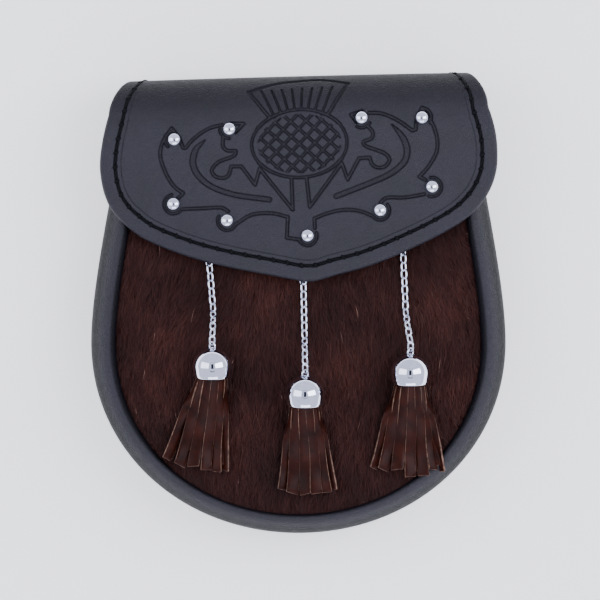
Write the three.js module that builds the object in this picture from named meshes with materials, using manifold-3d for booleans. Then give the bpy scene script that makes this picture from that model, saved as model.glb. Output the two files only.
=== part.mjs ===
// A leather day sporran lying on its back: pouch, fur front, studded flap, chain tassels and belt loops.
// Bag frame, in millimetres: X to the right, Y towards the fold of the flap, Z out of the front. The outer
// face of the back panel is the plane z = 0. The finished bag is then laid on the surface, where it rests on
// its belt loops and on the lower end of its back, so it leans a few degrees.
import * as THREE from "three";
import { mergeVertices } from "three/addons/utils/BufferGeometryUtils.js";
import Module from "manifold-3d";

const wasm = await Module();
wasm.setup();

// ---------------------------------------------------------------- driving dimensions
const GAP = 0.3; // between neighbouring pieces

// The pouch's outline, seen from the front: half widths and heights of the outermost bulge.
const BODY = { widest: 91.1, widestY: -16.3, bottomY: -100.3, topHalf: 76.1, topY: 83.2 };
const BACK = { thick: 2.6, inset: 0.7 };
// Depth of the pouch at its rim: full in the belly, less at the mouth.
const DEPTH = { belly: 36, mouth: 25, bellyY: -30, mouthY: 95 };
const GUSSET = { thick: 2, rimSide: 11, rimBottom: 9.4, flange: 9, stations: 44 };
const FUR = { thick: 3.2, below: 3, crown: 5, crownHalfX: 80, crownY: -6, crownHalfY: 96, topY: 82 };

const FLAP = { thick: 3, lift: 4.4, foldY: 83.7, legY: 68, legHalf: 73, skew: 0.026, columns: 12 };
// How far the flap's sides fall below its middle, at x = across.
const DROOP = { at80: 1.6, perMm: 0.07, across: 75 };
// The flap's two side edges, from the fold down to its tip. It was closed a little askew.
const FLAP_EDGE = [
  { y: 87, left: -83.3, right: 83.3 },
  { y: 75, left: -85.9, right: 86.8 },
  { y: 64, left: -87.2, right: 87.4 },
  { y: 56, left: -86.6, right: 85.8 },
  { y: 49, left: -84.8, right: 82.4 },
  { y: 42.7, left: -81.6, right: 77.4 },
  { y: 36.9, left: -76.2, right: 70.2 },
  { y: 30.9, left: -68.4, right: 59.8 },
  { y: 25.9, left: -57.6, right: 49.4 },
  { y: 21.1, left: -44, right: 38.6 },
  { y: 17.3, left: -28.8, right: 28.2 },
  { y: 14.4, left: -13.8, right: 17.2 },
  { y: 12.4, left: -3.4, right: 10.6 },
  { y: 11.4, left: 2.2, right: 6.4 },
];

const LOOP = { x: 45, wide: 18, thick: 2, gap: 5, tab: 7, lowY: 30, highY: 55 };
const SNAP = { x: 3, y: 30, radius: 6, chamfer: 0.8 };

const STUD = { radius: 2.95, flange: 0.4, rise: 2.1 };
const STUDS = [
  { x: -54.5, y: 73.8 },
  { x: -30.3, y: 78.2 },
  { x: -54.8, y: 45.3 },
  { x: -31.3, y: 37.9 },
  { x: 4, y: 31.2 },
  { x: 35.8, y: 42.4 },
  { x: 58.6, y: 52.8 },
  { x: 54.2, y: 81.7 },
  { x: 27.7, y: 82.1 },
];

// Chain links are ovals of round wire. The last lies flat round its post, the rest lie on alternate edges.
const LINK = { wire: 0.9, wide: 3.7, long: 5.1, bite: 0.12, lie: 1.9, lean: 45 };
const POST = { shank: 0.6, head: 1.7, plate: 0.5, linkAt: 0.85 };
const EYE = { ring: 1.75, wire: 0.9, aboveCap: 0.7, stem: 3.2 };
const CAP = { mouth: 8.1, widest: 8.7, long: 13.1, dome: 8.5, wall: 0.9, hole: 2.3, pitch: 4 };
// Each tassel: the top of its cap, where its chain heads and how it bows on the way, and its number of links.
const TASSELS = [
  { side: "left", x: -37.2, y: -16.9, to: [-39.9, 30], bow: 1.2, links: 14 },
  { side: "middle", x: 2.9, y: -28.9, to: [2, 19], bow: 0, links: 15 },
  { side: "right", x: 48.4, y: -19.7, to: [45.3, 35], bow: -1.3, links: 17 },
];
// How each fringe spreads: its width at the end, how full it is half way, and how far it lies to one side.
const SPREAD = {
  left: { width: 29.4, middle: 1, sway: -7.4, long: 39.4 },
  middle: { width: 26.6, middle: 1.05, sway: 0.3, long: 37.8 },
  right: { width: 31, middle: 1.22, sway: -2.1, long: 38.2 },
};
// The fringe's outer form below its cap: share of its length, width, thickness, height off the fur.
const FRINGE = [
  { along: -0.13, wide: 9.6, thick: 9.6, off: 0.5 },
  { along: -0.02, wide: 12.2, thick: 12.2, off: 0.5 },
  { along: 0.1, wide: 14.6, thick: 10.8, off: 0.5 },
  { along: 0.35, wide: 18, thick: 7.6, off: 0.5 },
  { along: 0.7, wide: 25, thick: 5.4, off: 1.4 },
  { along: 1, wide: 30, thick: 4, off: 3.6 },
];

// ---------------------------------------------------------------- finishes
const finish = (color, roughness, metalness = 0) =>
  new THREE.MeshStandardMaterial({ color, roughness, metalness });
const BLACK_LEATHER = finish("#26272e", 0.5);
const BROWN_FUR = finish("#3a201b", 0.9);
const BROWN_LEATHER = finish("#47281d", 0.55);
const CHROME = finish("#d6dae2", 0.12, 1);

// ---------------------------------------------------------------- small helpers
const v2 = (x, y) => new THREE.Vector2(x, y);
const v3 = (x, y, z) => new THREE.Vector3(x, y, z);
const lerp = THREE.MathUtils.lerp;
const radians = THREE.MathUtils.degToRad;
const ease = (x, from, to) => THREE.MathUtils.smoothstep(x, from, to);

/** Six times the volume inside a triangle list, negative if it faces inwards. */
function signedVolume(points, index) {
  let total = 0;
  for (let i = 0; i < index.length; i += 3) {
    const [a, b, c] = [points[index[i]], points[index[i + 1]], points[index[i + 2]]];
    total += a.dot(b.clone().cross(c));
  }
  return total;
}

/** A closed geometry through rings of equal length. The ends are capped by a strip from a ring's first point
 * to its last, which suits round rings and folded-back strips of one thickness. */
function loft(rings) {
  const count = rings[0].length;
  const points = rings.flat();
  const index = [];
  for (let i = 0; i + 1 < rings.length; i++)
    for (let k = 0; k < count; k++) {
      const a = i * count + k;
      const b = i * count + ((k + 1) % count);
      index.push(a, b, b + count, a, b + count, a + count);
    }
  const last = (rings.length - 1) * count;
  const cap = (a, b, c) => index.push(a, c, b, last + a, last + b, last + c);
  for (let k = 0, m = count - 1; k + 1 < m; k++, m--) {
    cap(k, k + 1, m);
    if (k + 2 < m) cap(k + 1, m - 1, m);
  }
  if (signedVolume(points, index) < 0) index.reverse();
  const geometry = new THREE.BufferGeometry().setFromPoints(points);
  geometry.setIndex(index);
  return geometry;
}

/** The points of a unit circle. */
const circle = (count) =>
  Array.from({ length: count }, (_, k) => v2(1, 0).rotateAround(v2(0, 0), (2 * Math.PI * k) / count));

/** A table's column at y, on a smooth curve through its rows, which run from high y to low. */
function through(rows, column, y) {
  const last = rows.length - 1;
  const i = Math.min(last - 1, Math.max(0, rows.findIndex((r) => r.y <= y) - 1));
  const slope = (k) => {
    const a = rows[Math.max(0, k - 1)];
    const b = rows[Math.min(last, k + 1)];
    return (b[column] - a[column]) / (b.y - a.y);
  };
  const [a, b] = [rows[i], rows[i + 1]];
  const h = b.y - a.y;
  const t = THREE.MathUtils.clamp((y - a.y) / h, 0, 1);
  return (
    (1 + 2 * t) * (1 - t) ** 2 * a[column] +
    t * (1 - t) ** 2 * h * slope(i) +
    t * t * (3 - 2 * t) * b[column] +
    t * t * (t - 1) * h * slope(i + 1)
  );
}

function solidOf(geometry) {
  const bare = geometry.clone();
  bare.deleteAttribute("normal");
  bare.deleteAttribute("uv");
  const merged = mergeVertices(bare, 1e-4);
  const mesh = new wasm.Mesh({
    numProp: 3,
    vertProperties: new Float32Array(merged.attributes.position.array),
    triVerts: new Uint32Array(merged.index.array),
  });
  return new wasm.Manifold(mesh);
}

function geometryOf(solid) {
  const mesh = solid.getMesh();
  const geometry = new THREE.BufferGeometry();
  geometry.setAttribute("position", new THREE.BufferAttribute(mesh.vertProperties, 3));
  geometry.setIndex(new THREE.BufferAttribute(mesh.triVerts, 1));
  return geometry;
}

function piece(name, geometry, material) {
  const mesh = new THREE.Mesh(geometry, material);
  mesh.name = name;
  return mesh;
}

// ---------------------------------------------------------------- the pouch's form
const rimZ = (y) => lerp(DEPTH.belly, DEPTH.mouth, ease(y, DEPTH.bellyY, DEPTH.mouthY));

/** The height of the fur's outer surface. */
function furZ(x, y) {
  const across = 1 - (x / FUR.crownHalfX) ** 2;
  const along = 1 - ((y - FUR.crownY) / FUR.crownHalfY) ** 2;
  return rimZ(y) - FUR.below + FUR.crown * Math.max(0, across) * Math.max(0, along);
}

/** The unit normal of the fur's outer surface. */
function furNormal(x, y) {
  const step = 0.5;
  const dx = (furZ(x + step, y) - furZ(x - step, y)) / (2 * step);
  const dy = (furZ(x, y + step) - furZ(x, y - step)) / (2 * step);
  return v3(-dx, -dy, 1).normalize();
}

/** The outline from the mouth round the bottom to the other side of the mouth, as one path. */
function bodyPath() {
  const { widest, widestY, bottomY, topHalf, topY } = BODY;
  const side = (s) => {
    const mouth = v2(s * topHalf, topY);
    const belly = v2(s * widest, widestY);
    return [
      [mouth, v2(s * (topHalf + 6.3), topY - 36), v2(s * widest, widestY + 24), belly],
      [belly, v2(s * widest, widestY - 48), v2(s * 51, bottomY), v2(0, bottomY)],
    ];
  };
  const path = new THREE.CurvePath();
  for (const [a, b, c, d] of side(-1)) path.add(new THREE.CubicBezierCurve(a, b, c, d));
  for (const [a, b, c, d] of side(1).reverse()) path.add(new THREE.CubicBezierCurve(d, c, b, a));
  return path;
}

/** Evenly spaced stations along the outline, each with its point and its inward unit normal. */
function stations(count) {
  const path = bodyPath();
  return Array.from({ length: count + 1 }, (_, i) => {
    const tangent = path.getTangentAt(i / count);
    return { at: path.getPointAt(i / count), inward: v2(-tangent.y, tangent.x) };
  });
}

const rimWidth = (inward) => lerp(GUSSET.rimSide, GUSSET.rimBottom, inward.y ** 2);

// ---------------------------------------------------------------- leather pieces
function backPanel() {
  const edge = stations(60).map((s) => s.at.clone().addScaledVector(s.inward, BACK.inset));
  const shape = new THREE.Shape(edge);
  return new THREE.ExtrudeGeometry(shape, { depth: BACK.thick, bevelEnabled: false });
}

/** The gusset's section, inset from the outline against height: a closed outline of constant thickness. */
function gussetSection(depth, rim) {
  const low = BACK.thick + GAP + GUSSET.thick / 2;
  const middle = new THREE.SplineCurve([
    v2(GUSSET.flange, low),
    v2(3, low),
    v2(1.25, low + 1.6),
    v2(1, depth * 0.38),
    v2(1, depth - 13.5),
    v2(2.3, depth - 7.2),
    v2(4.9, depth - 2.7),
    v2(8 - (GUSSET.rimSide - rim) / 2, depth - 1),
    v2(rim - 1.3, depth - 2.3),
    v2(rim - 1, depth - 5.2),
  ]);
  const steps = 13;
  const side = (offset) =>
    Array.from({ length: steps + 1 }, (_, i) => {
      const t = middle.getTangent(i / steps);
      return middle.getPoint(i / steps).add(v2(-t.y, t.x).multiplyScalar(offset));
    });
  return [...side(GUSSET.thick / 2), ...side(-GUSSET.thick / 2).reverse()];
}

function gusset() {
  const rings = stations(GUSSET.stations).map(({ at, inward }) => {
    const section = gussetSection(rimZ(at.y), rimWidth(inward));
    return section.map((p) => v3(at.x + inward.x * p.x, at.y + inward.y * p.x, p.y));
  });
  return loft(rings);
}

/** The hide front: a domed plate whose outer face is the form of the short fur. */
function furPanel() {
  const edge = stations(52)
    .map((s) => s.at.clone().addScaledVector(s.inward, rimWidth(s.inward) + GAP))
    .filter((p) => p.y < FUR.topY);
  const half = edge[0].x;
  const top = [1, 0.66, 0.33, 0, -0.33, -0.66, -1].map((k) => v2(-half * k, FUR.topY));
  const outline = [...edge, ...top];
  const centre = v2(0, -8);
  const ring = (scale, drop) =>
    outline.map((p) => {
      const x = lerp(centre.x, p.x, scale);
      const y = lerp(centre.y, p.y, scale);
      return v3(x, y, furZ(x, y) - drop);
    });
  const scales = [0.12, 0.4, 0.65, 0.85];
  const rings = [
    ...scales.map((k) => ring(k, FUR.thick)),
    ring(1, FUR.thick),
    ring(1, 1.2),
    ring(0.985, 0.2),
    ...scales.toReversed().map((k) => ring(k, 0)),
  ];
  return loft(rings);
}

// ---------------------------------------------------------------- the flap
const LEG_Z = -GAP - FLAP.thick / 2;

/** The flap's middle surface at x = 0 above y, on its front part. */
const flapFrontZ = (y) => furZ(0, y) + FLAP.lift + FLAP.thick / 2;
const flapDroop = (y) => DROOP.at80 + DROOP.perMm * Math.max(0, 80 - y);

/** The fold: an arc from the leg behind the back panel round to the slope of the front. */
function fold() {
  const slope = Math.atan((flapFrontZ(60) - flapFrontZ(84)) / 24);
  const end = Math.PI / 2 - slope;
  const radius = (flapFrontZ(84.5) - LEG_Z) / (1 + Math.sin(end));
  return { radius, end, z: LEG_Z + radius };
}

/** One row of the flap: its middle point, its outward normal, its two edges and how far its sides fall. */
function flapRows() {
  const { radius, end, z } = fold();
  const { legHalf, foldY, legY } = FLAP;
  const { left, right } = FLAP_EDGE[0];
  const rows = [legY, lerp(legY, foldY, 0.5)].map((y) => ({
    y, z: LEG_Z, ny: 0, nz: -1, left: -legHalf, right: legHalf, droop: 0,
  }));
  const turns = 12;
  for (let i = 0; i <= turns; i++) {
    const angle = lerp(-Math.PI / 2, end, i / turns);
    const wide = ease(angle, radians(-40), end);
    rows.push({
      y: foldY + radius * Math.cos(angle),
      z: z + radius * Math.sin(angle),
      ny: Math.cos(angle),
      nz: Math.sin(angle),
      left: lerp(-legHalf, left, wide),
      right: lerp(legHalf, right, wide),
      droop: wide * DROOP.at80,
    });
  }
  const first = foldY + radius * Math.cos(end);
  for (const y of [78, 71, ...FLAP_EDGE.slice(2).map((row) => row.y)]) {
    const slope = Math.atan((flapFrontZ(y - 1) - flapFrontZ(y + 1)) / 2);
    rows.push({
      y: Math.min(y, first - 4),
      z: flapFrontZ(y),
      ny: Math.sin(slope),
      nz: Math.cos(slope),
      left: through(FLAP_EDGE, "left", y),
      right: through(FLAP_EDGE, "right", y),
      droop: flapDroop(y),
    });
  }
  return rows;
}

function flap() {
  const rings = flapRows().map((row) => {
    const side = (offset) =>
      Array.from({ length: FLAP.columns + 1 }, (_, k) => {
        const x = lerp(row.left, row.right, k / FLAP.columns);
        const out = offset - row.droop * (x / DROOP.across) ** 2;
        const askew = FLAP.skew * x * ease(row.y, 60, 92);
        return v3(x, row.y + askew + row.ny * out, row.z + row.nz * out);
      });
    return [...side(FLAP.thick / 2), ...side(-FLAP.thick / 2).reverse()];
  });
  return loft(rings);
}

/** A point on the flap's outer face, and the face's normal there. */
function onFlap(x, y) {
  const z = (px, py) => flapFrontZ(py) - flapDroop(py) * (px / DROOP.across) ** 2;
  const normal = v3(-(z(x + 1, y) - z(x - 1, y)) / 2, -(z(x, y + 1) - z(x, y - 1)) / 2, 1).normalize();
  return { at: v3(x, y, z(x, y)).addScaledVector(normal, FLAP.thick / 2), normal };
}

/** Turns a mesh so that its own +Y is along a direction, and puts it at a point. */
function stand(mesh, at, direction) {
  mesh.quaternion.setFromUnitVectors(v3(0, 1, 0), direction);
  mesh.position.copy(at);
  return mesh;
}

function studs() {
  const profile = [v2(0, 0), v2(STUD.radius, 0), v2(STUD.radius, STUD.flange)];
  const steps = 4;
  for (let i = 1; i <= steps; i++) {
    const angle = (Math.PI / 2) * (i / steps);
    profile.push(v2(STUD.radius * Math.cos(angle), STUD.flange + STUD.rise * Math.sin(angle)));
  }
  profile[profile.length - 1].x = 0;
  return STUDS.map(({ x, y }, i) => {
    const { at, normal } = onFlap(x, y);
    const mesh = piece(`stud_${i + 1}`, new THREE.LatheGeometry(profile, 16), CHROME);
    return stand(mesh, at.addScaledVector(normal, GAP + 0.1), normal);
  });
}

/** The hidden fastener between the fur and the flap: one plain disc with chamfered rims. */
function snap() {
  const normal = furNormal(SNAP.x, SNAP.y);
  const height = FLAP.lift - 2 * GAP - 0.5;
  const { radius, chamfer } = SNAP;
  const profile = [v2(0, 0), v2(radius - chamfer, 0), v2(radius, chamfer)];
  profile.push(v2(radius, height - chamfer), v2(radius - chamfer, height), v2(0, height));
  const at = v3(SNAP.x, SNAP.y, furZ(SNAP.x, SNAP.y)).addScaledVector(normal, GAP + 0.15);
  return stand(piece("flap_snap", new THREE.LatheGeometry(profile, 20), CHROME), at, normal);
}

// ---------------------------------------------------------------- belt loops, and how the bag lies
const BACK_LOW_Y = BODY.bottomY + BACK.inset;
// The lean that puts the loops' outer faces and the back's lower end on one plane.
const REST_SLOPE = (LOOP.gap + LOOP.thick) / (LOOP.lowY - BACK_LOW_Y);

/** A strip sewn down at both ends, whose raised middle lies flat on the surface below. */
function beltLoop() {
  const { thick, gap, tab, lowY, highY, wide } = LOOP;
  const floor = (y) => -REST_SLOPE * (y - BACK_LOW_Y);
  const ramp = 4.5;
  const inner = [
    v2(lowY - ramp - tab, -GAP),
    v2(lowY - ramp, -GAP),
    v2(lowY, -gap),
    v2(highY, floor(highY) + thick),
    v2(highY + ramp, -GAP),
    v2(highY + ramp + tab, -GAP),
  ];
  const outer = [
    v2(highY + ramp + tab, -GAP - thick),
    v2(highY + ramp + 1.2, -GAP - thick),
    v2(highY + 0.8, floor(highY)),
    v2(lowY, floor(lowY)),
    v2(lowY - ramp - 0.9, -GAP - thick),
    v2(lowY - ramp - tab, -GAP - thick),
  ];
  const geometry = new THREE.ExtrudeGeometry(new THREE.Shape([...inner, ...outer]), {
    depth: wide,
    bevelEnabled: false,
  });
  // The extrusion runs along Z: turn it to run along X, with the shape's own X along Y and its Y along Z.
  geometry.applyMatrix4(new THREE.Matrix4().makeBasis(v3(0, 1, 0), v3(0, 0, 1), v3(1, 0, 0)));
  return geometry.translate(-wide / 2, 0, 0);
}

function beltLoops() {
  return [-1, 1].map((side) => {
    const mesh = piece(side < 0 ? "belt_loop_left" : "belt_loop_right", beltLoop(), BLACK_LEATHER);
    mesh.position.x = side * LOOP.x;
    return mesh;
  });
}

// ---------------------------------------------------------------- tassels
/** An oval link of round wire, long along Y: a ring whose two halves are drawn apart. */
function linkGeometry() {
  const radius = (LINK.wide - LINK.wire) / 2;
  const stretch = (LINK.long - LINK.wide) / 2;
  const [around, along] = [5, 8];
  const ring = new THREE.TorusGeometry(radius, LINK.wire / 2, around, along);
  ring.rotateZ(Math.PI / along);
  const position = ring.attributes.position;
  for (let i = 0; i < position.count; i++)
    position.setY(i, position.getY(i) + Math.sign(position.getY(i)) * stretch);
  return ring;
}

/** A frame at a point whose Y is along a direction and whose Z leans away from the fur by an angle. */
function frameAlong(at, direction, lean = 0) {
  const y = direction.clone().normalize();
  const up = furNormal(at.x, at.y);
  const x = y.clone().cross(up).normalize();
  const z = x.clone().cross(y);
  const frame = new THREE.Matrix4().makeBasis(x, y, z).setPosition(at);
  return frame.multiply(new THREE.Matrix4().makeRotationY(lean));
}

/** Where the cap of a tassel sits: the middle of its top, and the direction from its mouth to its top. */
function capPlace({ x, y }) {
  const mouthY = y - CAP.long;
  const normal = furNormal(x, mouthY);
  const axis = v3(0, normal.z, -normal.y).normalize();
  axis.applyAxisAngle(v3(1, 0, 0), radians(CAP.pitch));
  const rest = v3(x, mouthY + 3.6, furZ(x, mouthY + 3.6)).addScaledVector(normal, CAP.widest + GAP + 0.1);
  return { top: rest.addScaledVector(axis, CAP.long - 3.6), axis };
}

/** The centres of a chain's links from its eye up to its post, and the directions at them. */
function chainPath(tassel) {
  const { top, axis } = capPlace(tassel);
  const hook = top.clone().addScaledVector(axis, EYE.aboveCap + EYE.ring - LINK.wire - GAP - 0.05);
  const [toX, toY] = tassel.to;
  const leave = hook.clone().addScaledVector(axis, LINK.long * 0.7);
  const height = leave.z - furZ(leave.x, leave.y);
  const points = [hook, leave];
  const steps = 9;
  for (let i = 1; i <= steps; i++) {
    const along = i / (steps - 1);
    const x = lerp(leave.x, toX, along) + tassel.bow * ease(along, 0, 0.25) * (1 - along);
    const y = lerp(leave.y, toY, along);
    points.push(v3(x, y, furZ(x, y) + lerp(height, LINK.lie, ease(i, 0, 2.6))));
  }
  const curve = new THREE.CatmullRomCurve3(points);
  const length = curve.getLength();
  const pitch = LINK.long - 2 * LINK.wire + LINK.bite;
  return Array.from({ length: tassel.links }, (_, i) => {
    const u = (LINK.long / 2 - LINK.wire / 2 + i * pitch) / length;
    return { at: curve.getPointAt(u), direction: curve.getTangentAt(u) };
  });
}

/** One chain as one solid, its links bearing on each other. */
function chain(tassel) {
  const path = chainPath(tassel);
  const near = [0, 65, -25]; // the links next to the post turn from flat to the common lean
  let joined = null;
  path.forEach(({ at, direction }, i) => {
    const fromPost = path.length - 1 - i;
    const lean = near[fromPost] ?? LINK.lean * (fromPost % 2 ? 1 : -1);
    const link = solidOf(linkGeometry().applyMatrix4(frameAlong(at, direction, radians(lean))));
    joined = joined ? joined.add(link) : link;
  });
  return piece(`chain_${tassel.side}`, geometryOf(joined), CHROME);
}

/** The spool under the flap that holds the chain's last link. */
function chainPost(tassel) {
  const last = chainPath(tassel).at(-1);
  const centre = last.at.clone().addScaledVector(last.direction, POST.linkAt);
  const normal = furNormal(centre.x, centre.y);
  const half = LINK.wire / 2 + GAP;
  const low = -(centre.z - furZ(centre.x, centre.y)) + GAP + 0.1;
  const profile = [
    v2(0, low),
    v2(POST.head, low),
    v2(POST.head, low + POST.plate),
    v2(POST.shank, low + POST.plate),
    v2(POST.shank, half),
    v2(POST.head, half),
    v2(POST.head, half + POST.plate),
    v2(0, half + POST.plate),
  ];
  const post = piece(`chain_post_${tassel.side}`, new THREE.LatheGeometry(profile, 12), CHROME);
  return stand(post, centre, normal);
}

/** The wire eye that passes through the top of the cap. */
function tasselEye(tassel) {
  const { top, axis } = capPlace(tassel);
  const ring = new THREE.TorusGeometry(EYE.ring, EYE.wire / 2, 6, 14);
  const stem = new THREE.CylinderGeometry(EYE.wire / 2, EYE.wire / 2, EYE.stem, 8);
  stem.translate(0, -EYE.ring - EYE.stem / 2 + 0.3, 0);
  const lean = LINK.lean * ((tassel.links - 1) % 2 ? 1 : -1);
  const frame = frameAlong(top.clone().addScaledVector(axis, EYE.aboveCap), axis, radians(lean + 90));
  const joined = solidOf(ring).add(solidOf(stem));
  return piece(`tassel_eye_${tassel.side}`, geometryOf(joined).applyMatrix4(frame), CHROME);
}

/** The chrome dome: a thin bell, open below, with a hole at the top for the eye. */
function tasselCap(tassel) {
  const { top, axis } = capPlace(tassel);
  const { dome } = CAP;
  const steps = 6;
  const arc = (radius, rise, to) =>
    Array.from({ length: steps + 1 }, (_, i) => {
      const angle = lerp(0, Math.acos(to / radius), i / steps);
      return v2(radius * Math.cos(angle), rise * Math.sin(angle) - dome);
    });
  const inside = CAP.widest - CAP.wall;
  const outer = [v2(CAP.mouth, -CAP.long), ...arc(CAP.widest, dome, CAP.hole)];
  const inner = [v2(CAP.mouth - CAP.wall, -CAP.long), ...arc(inside, dome - CAP.wall, CAP.hole)];
  const profile = [...outer, ...inner.reverse(), outer[0].clone()];
  const cap = piece(`tassel_cap_${tassel.side}`, new THREE.LatheGeometry(profile, 24), CHROME);
  return stand(cap, top, axis);
}

/** The outer form of the fringe: round inside the cap, then flat and wide where it lies on the fur. */
function fringe(tassel) {
  const { top, axis } = capPlace(tassel);
  const spread = SPREAD[tassel.side];
  const mouth = top.clone().addScaledVector(axis, -CAP.long);
  const count = 14;
  const rings = FRINGE.map(({ along, wide, thick, off }) => {
    const down = Math.max(0, along);
    const fuller = 1 + (spread.middle - 1) * 4 * down * (1 - down);
    const width = wide * fuller * lerp(1, spread.width / 30, down);
    const straight = mouth.clone().addScaledVector(axis, -along * spread.long);
    const x = straight.x + spread.sway * down;
    const lying = furZ(x, straight.y) + thick / 2 + off;
    const z = lerp(straight.z, lying, ease(along, 0, 0.35));
    return circle(count).map((p) => {
      const px = x + (p.x * width) / 2;
      const sag = along > 0.2 ? furZ(px, straight.y) - furZ(x, straight.y) : 0;
      return v3(px, straight.y, z + (p.y * thick) / 2 + sag);
    });
  });
  return piece(`fringe_${tassel.side}`, loft(rings), BROWN_LEATHER);
}

// ---------------------------------------------------------------- the bag, laid down
const bag = new THREE.Group();
bag.add(piece("back_panel", backPanel(), BLACK_LEATHER));
bag.add(piece("gusset", gusset(), BLACK_LEATHER));
bag.add(piece("fur_panel", furPanel(), BROWN_FUR));
bag.add(piece("flap", flap(), BLACK_LEATHER));
bag.add(snap(), ...beltLoops(), ...studs());
for (const tassel of TASSELS)
  bag.add(chainPost(tassel), chain(tassel), tasselEye(tassel), tasselCap(tassel), fringe(tassel));

// Lean the bag on its loops, then put the origin under the middle of its box.
bag.rotation.x = Math.atan(REST_SLOPE);
bag.updateMatrixWorld(true);
const box = new THREE.Box3().setFromObject(bag, true);
const centre = box.getCenter(v3(0, 0, 0));
bag.position.set(-centre.x, -centre.y, -box.min.z);

const sporran = new THREE.Group();
sporran.add(bag);

export default sporran;
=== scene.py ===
"""A leather day sporran lying on its back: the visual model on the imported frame.

The pieces are drawn in the bag's own frame, in millimetres: X to the right, Y towards the fold of the
flap, Z out of the fur front, with the outer face of the back panel at z = 0. Lay turns them into the row
frame, in metres, where the bag leans a few degrees on its belt loops.
"""

from __future__ import annotations

import logging
import math
from dataclasses import dataclass, field
from enum import Enum
from typing import Callable, Sequence

import bpy
import numpy as np
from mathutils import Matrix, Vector

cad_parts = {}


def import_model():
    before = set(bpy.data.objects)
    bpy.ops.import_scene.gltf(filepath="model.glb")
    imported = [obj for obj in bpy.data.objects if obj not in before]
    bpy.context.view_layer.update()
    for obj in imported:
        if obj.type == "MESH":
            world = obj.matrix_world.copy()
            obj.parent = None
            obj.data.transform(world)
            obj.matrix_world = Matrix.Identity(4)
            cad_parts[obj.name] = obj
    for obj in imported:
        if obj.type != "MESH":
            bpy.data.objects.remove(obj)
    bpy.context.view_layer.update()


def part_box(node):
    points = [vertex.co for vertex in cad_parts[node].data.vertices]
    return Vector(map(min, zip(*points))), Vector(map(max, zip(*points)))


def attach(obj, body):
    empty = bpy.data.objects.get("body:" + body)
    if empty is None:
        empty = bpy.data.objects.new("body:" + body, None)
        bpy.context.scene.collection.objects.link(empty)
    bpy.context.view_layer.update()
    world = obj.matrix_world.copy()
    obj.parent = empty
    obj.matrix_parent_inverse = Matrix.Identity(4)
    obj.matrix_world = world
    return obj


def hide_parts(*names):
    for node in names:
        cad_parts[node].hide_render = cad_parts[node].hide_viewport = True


LOG = logging.getLogger("sporran")
MM = 0.001
UP = np.array([0.0, 0.0, 1.0])
TO_FOLD = np.array([0.0, 1.0, 0.0])


class Slot(Enum):
    """The record's material slots."""

    BLACK_LEATHER = "black_leather"
    BROWN_FUR = "brown_fur"
    BROWN_LEATHER = "brown_leather"
    CHROME = "chrome"


class Side(Enum):
    """The three tassels."""

    LEFT = "left"
    MIDDLE = "middle"
    RIGHT = "right"


# ------------------------------------------------------------------ numbers


def ease(value: np.ndarray | float, start: float, end: float) -> np.ndarray:
    """Smooth step from 0 at start to 1 at end."""
    t = np.clip((np.asarray(value, float) - start) / (end - start), 0.0, 1.0)
    return t * t * (3 - 2 * t)


def spline(points: Sequence[Sequence[float]], per_span: int) -> np.ndarray:
    """Samples a Catmull-Rom curve through points.

    Args:
        points: The points that the curve passes through, of any dimension.
        per_span: How many samples each span gets.

    Returns:
        The samples, the last point included.
    """
    p = np.asarray(points, float)
    ends = np.vstack([2 * p[0] - p[1], p, 2 * p[-1] - p[-2]])
    t = np.linspace(0, 1, per_span, endpoint=False)[:, None]
    spans = []
    for a, b, c, d in zip(ends, ends[1:], ends[2:], ends[3:]):
        square, cube = 2 * a - 5 * b + 4 * c - d, 3 * b - a - 3 * c + d
        spans.append(0.5 * (2 * b + (c - a) * t + square * t**2 + cube * t**3))
    return np.vstack([*spans, p[-1:]])


def even(points: np.ndarray, count: int) -> np.ndarray:
    """Resamples a polyline.

    Args:
        points: The polyline's points.
        count: How many points to return.

    Returns:
        That many points at even distances along it.
    """
    along = np.concatenate([[0], np.cumsum(np.linalg.norm(np.diff(points, axis=0), axis=1))])
    at = np.linspace(0, along[-1], count)
    return np.stack([np.interp(at, along, column) for column in points.T], axis=1)


def segment_distance(points: np.ndarray, line: np.ndarray, width: np.ndarray | None = None) -> np.ndarray:
    """Distance from points in a plane to a polyline, less the line's half width.

    Args:
        points: The points, two columns.
        line: The polyline, two columns.
        width: Half widths at the polyline's points, or None for a bare line.

    Returns:
        One distance a point, negative inside the line's width.
    """
    half = np.zeros(len(line)) if width is None else width
    best = np.full(len(points), 1e9)
    for a, b, wa, wb in zip(line, line[1:], half, half[1:]):
        edge = b - a
        t = np.clip(((points - a) @ edge) / max(edge @ edge, 1e-12), 0, 1)
        gap = np.hypot(points[:, 0] - a[0] - t * edge[0], points[:, 1] - a[1] - t * edge[1])
        np.minimum(best, gap - wa - t * (wb - wa), out=best)
    return best


def turned_to(direction: np.ndarray, up: np.ndarray) -> np.ndarray:
    """A rotation whose Y lies along a direction and whose Z is as near to up as it can be.

    Args:
        direction: Where Y goes.
        up: The direction Z leans to.

    Returns:
        A 3 by 3 matrix with the axes as its columns.
    """
    y = direction / np.linalg.norm(direction)
    x = np.cross(y, up)
    x = x / np.linalg.norm(x)
    return np.stack([x, y, np.cross(x, y)], axis=1)


def about_y(angle: float) -> np.ndarray:
    """The 3 by 3 rotation about Y by an angle in degrees."""
    c, s = math.cos(math.radians(angle)), math.sin(math.radians(angle))
    return np.array([[c, 0, s], [0, 1, 0], [-s, 0, c]])


# ------------------------------------------------------------------ Blender helpers


def deselect() -> None:
    """Deselects every object."""
    if bpy.context.object and bpy.context.object.mode != "OBJECT":
        bpy.ops.object.mode_set(mode="OBJECT")
    bpy.ops.object.select_all(action="DESELECT")


def activate(obj: bpy.types.Object) -> None:
    """Makes an object the only selected one, and active."""
    deselect()
    obj.select_set(True)
    bpy.context.view_layer.objects.active = obj


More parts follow.
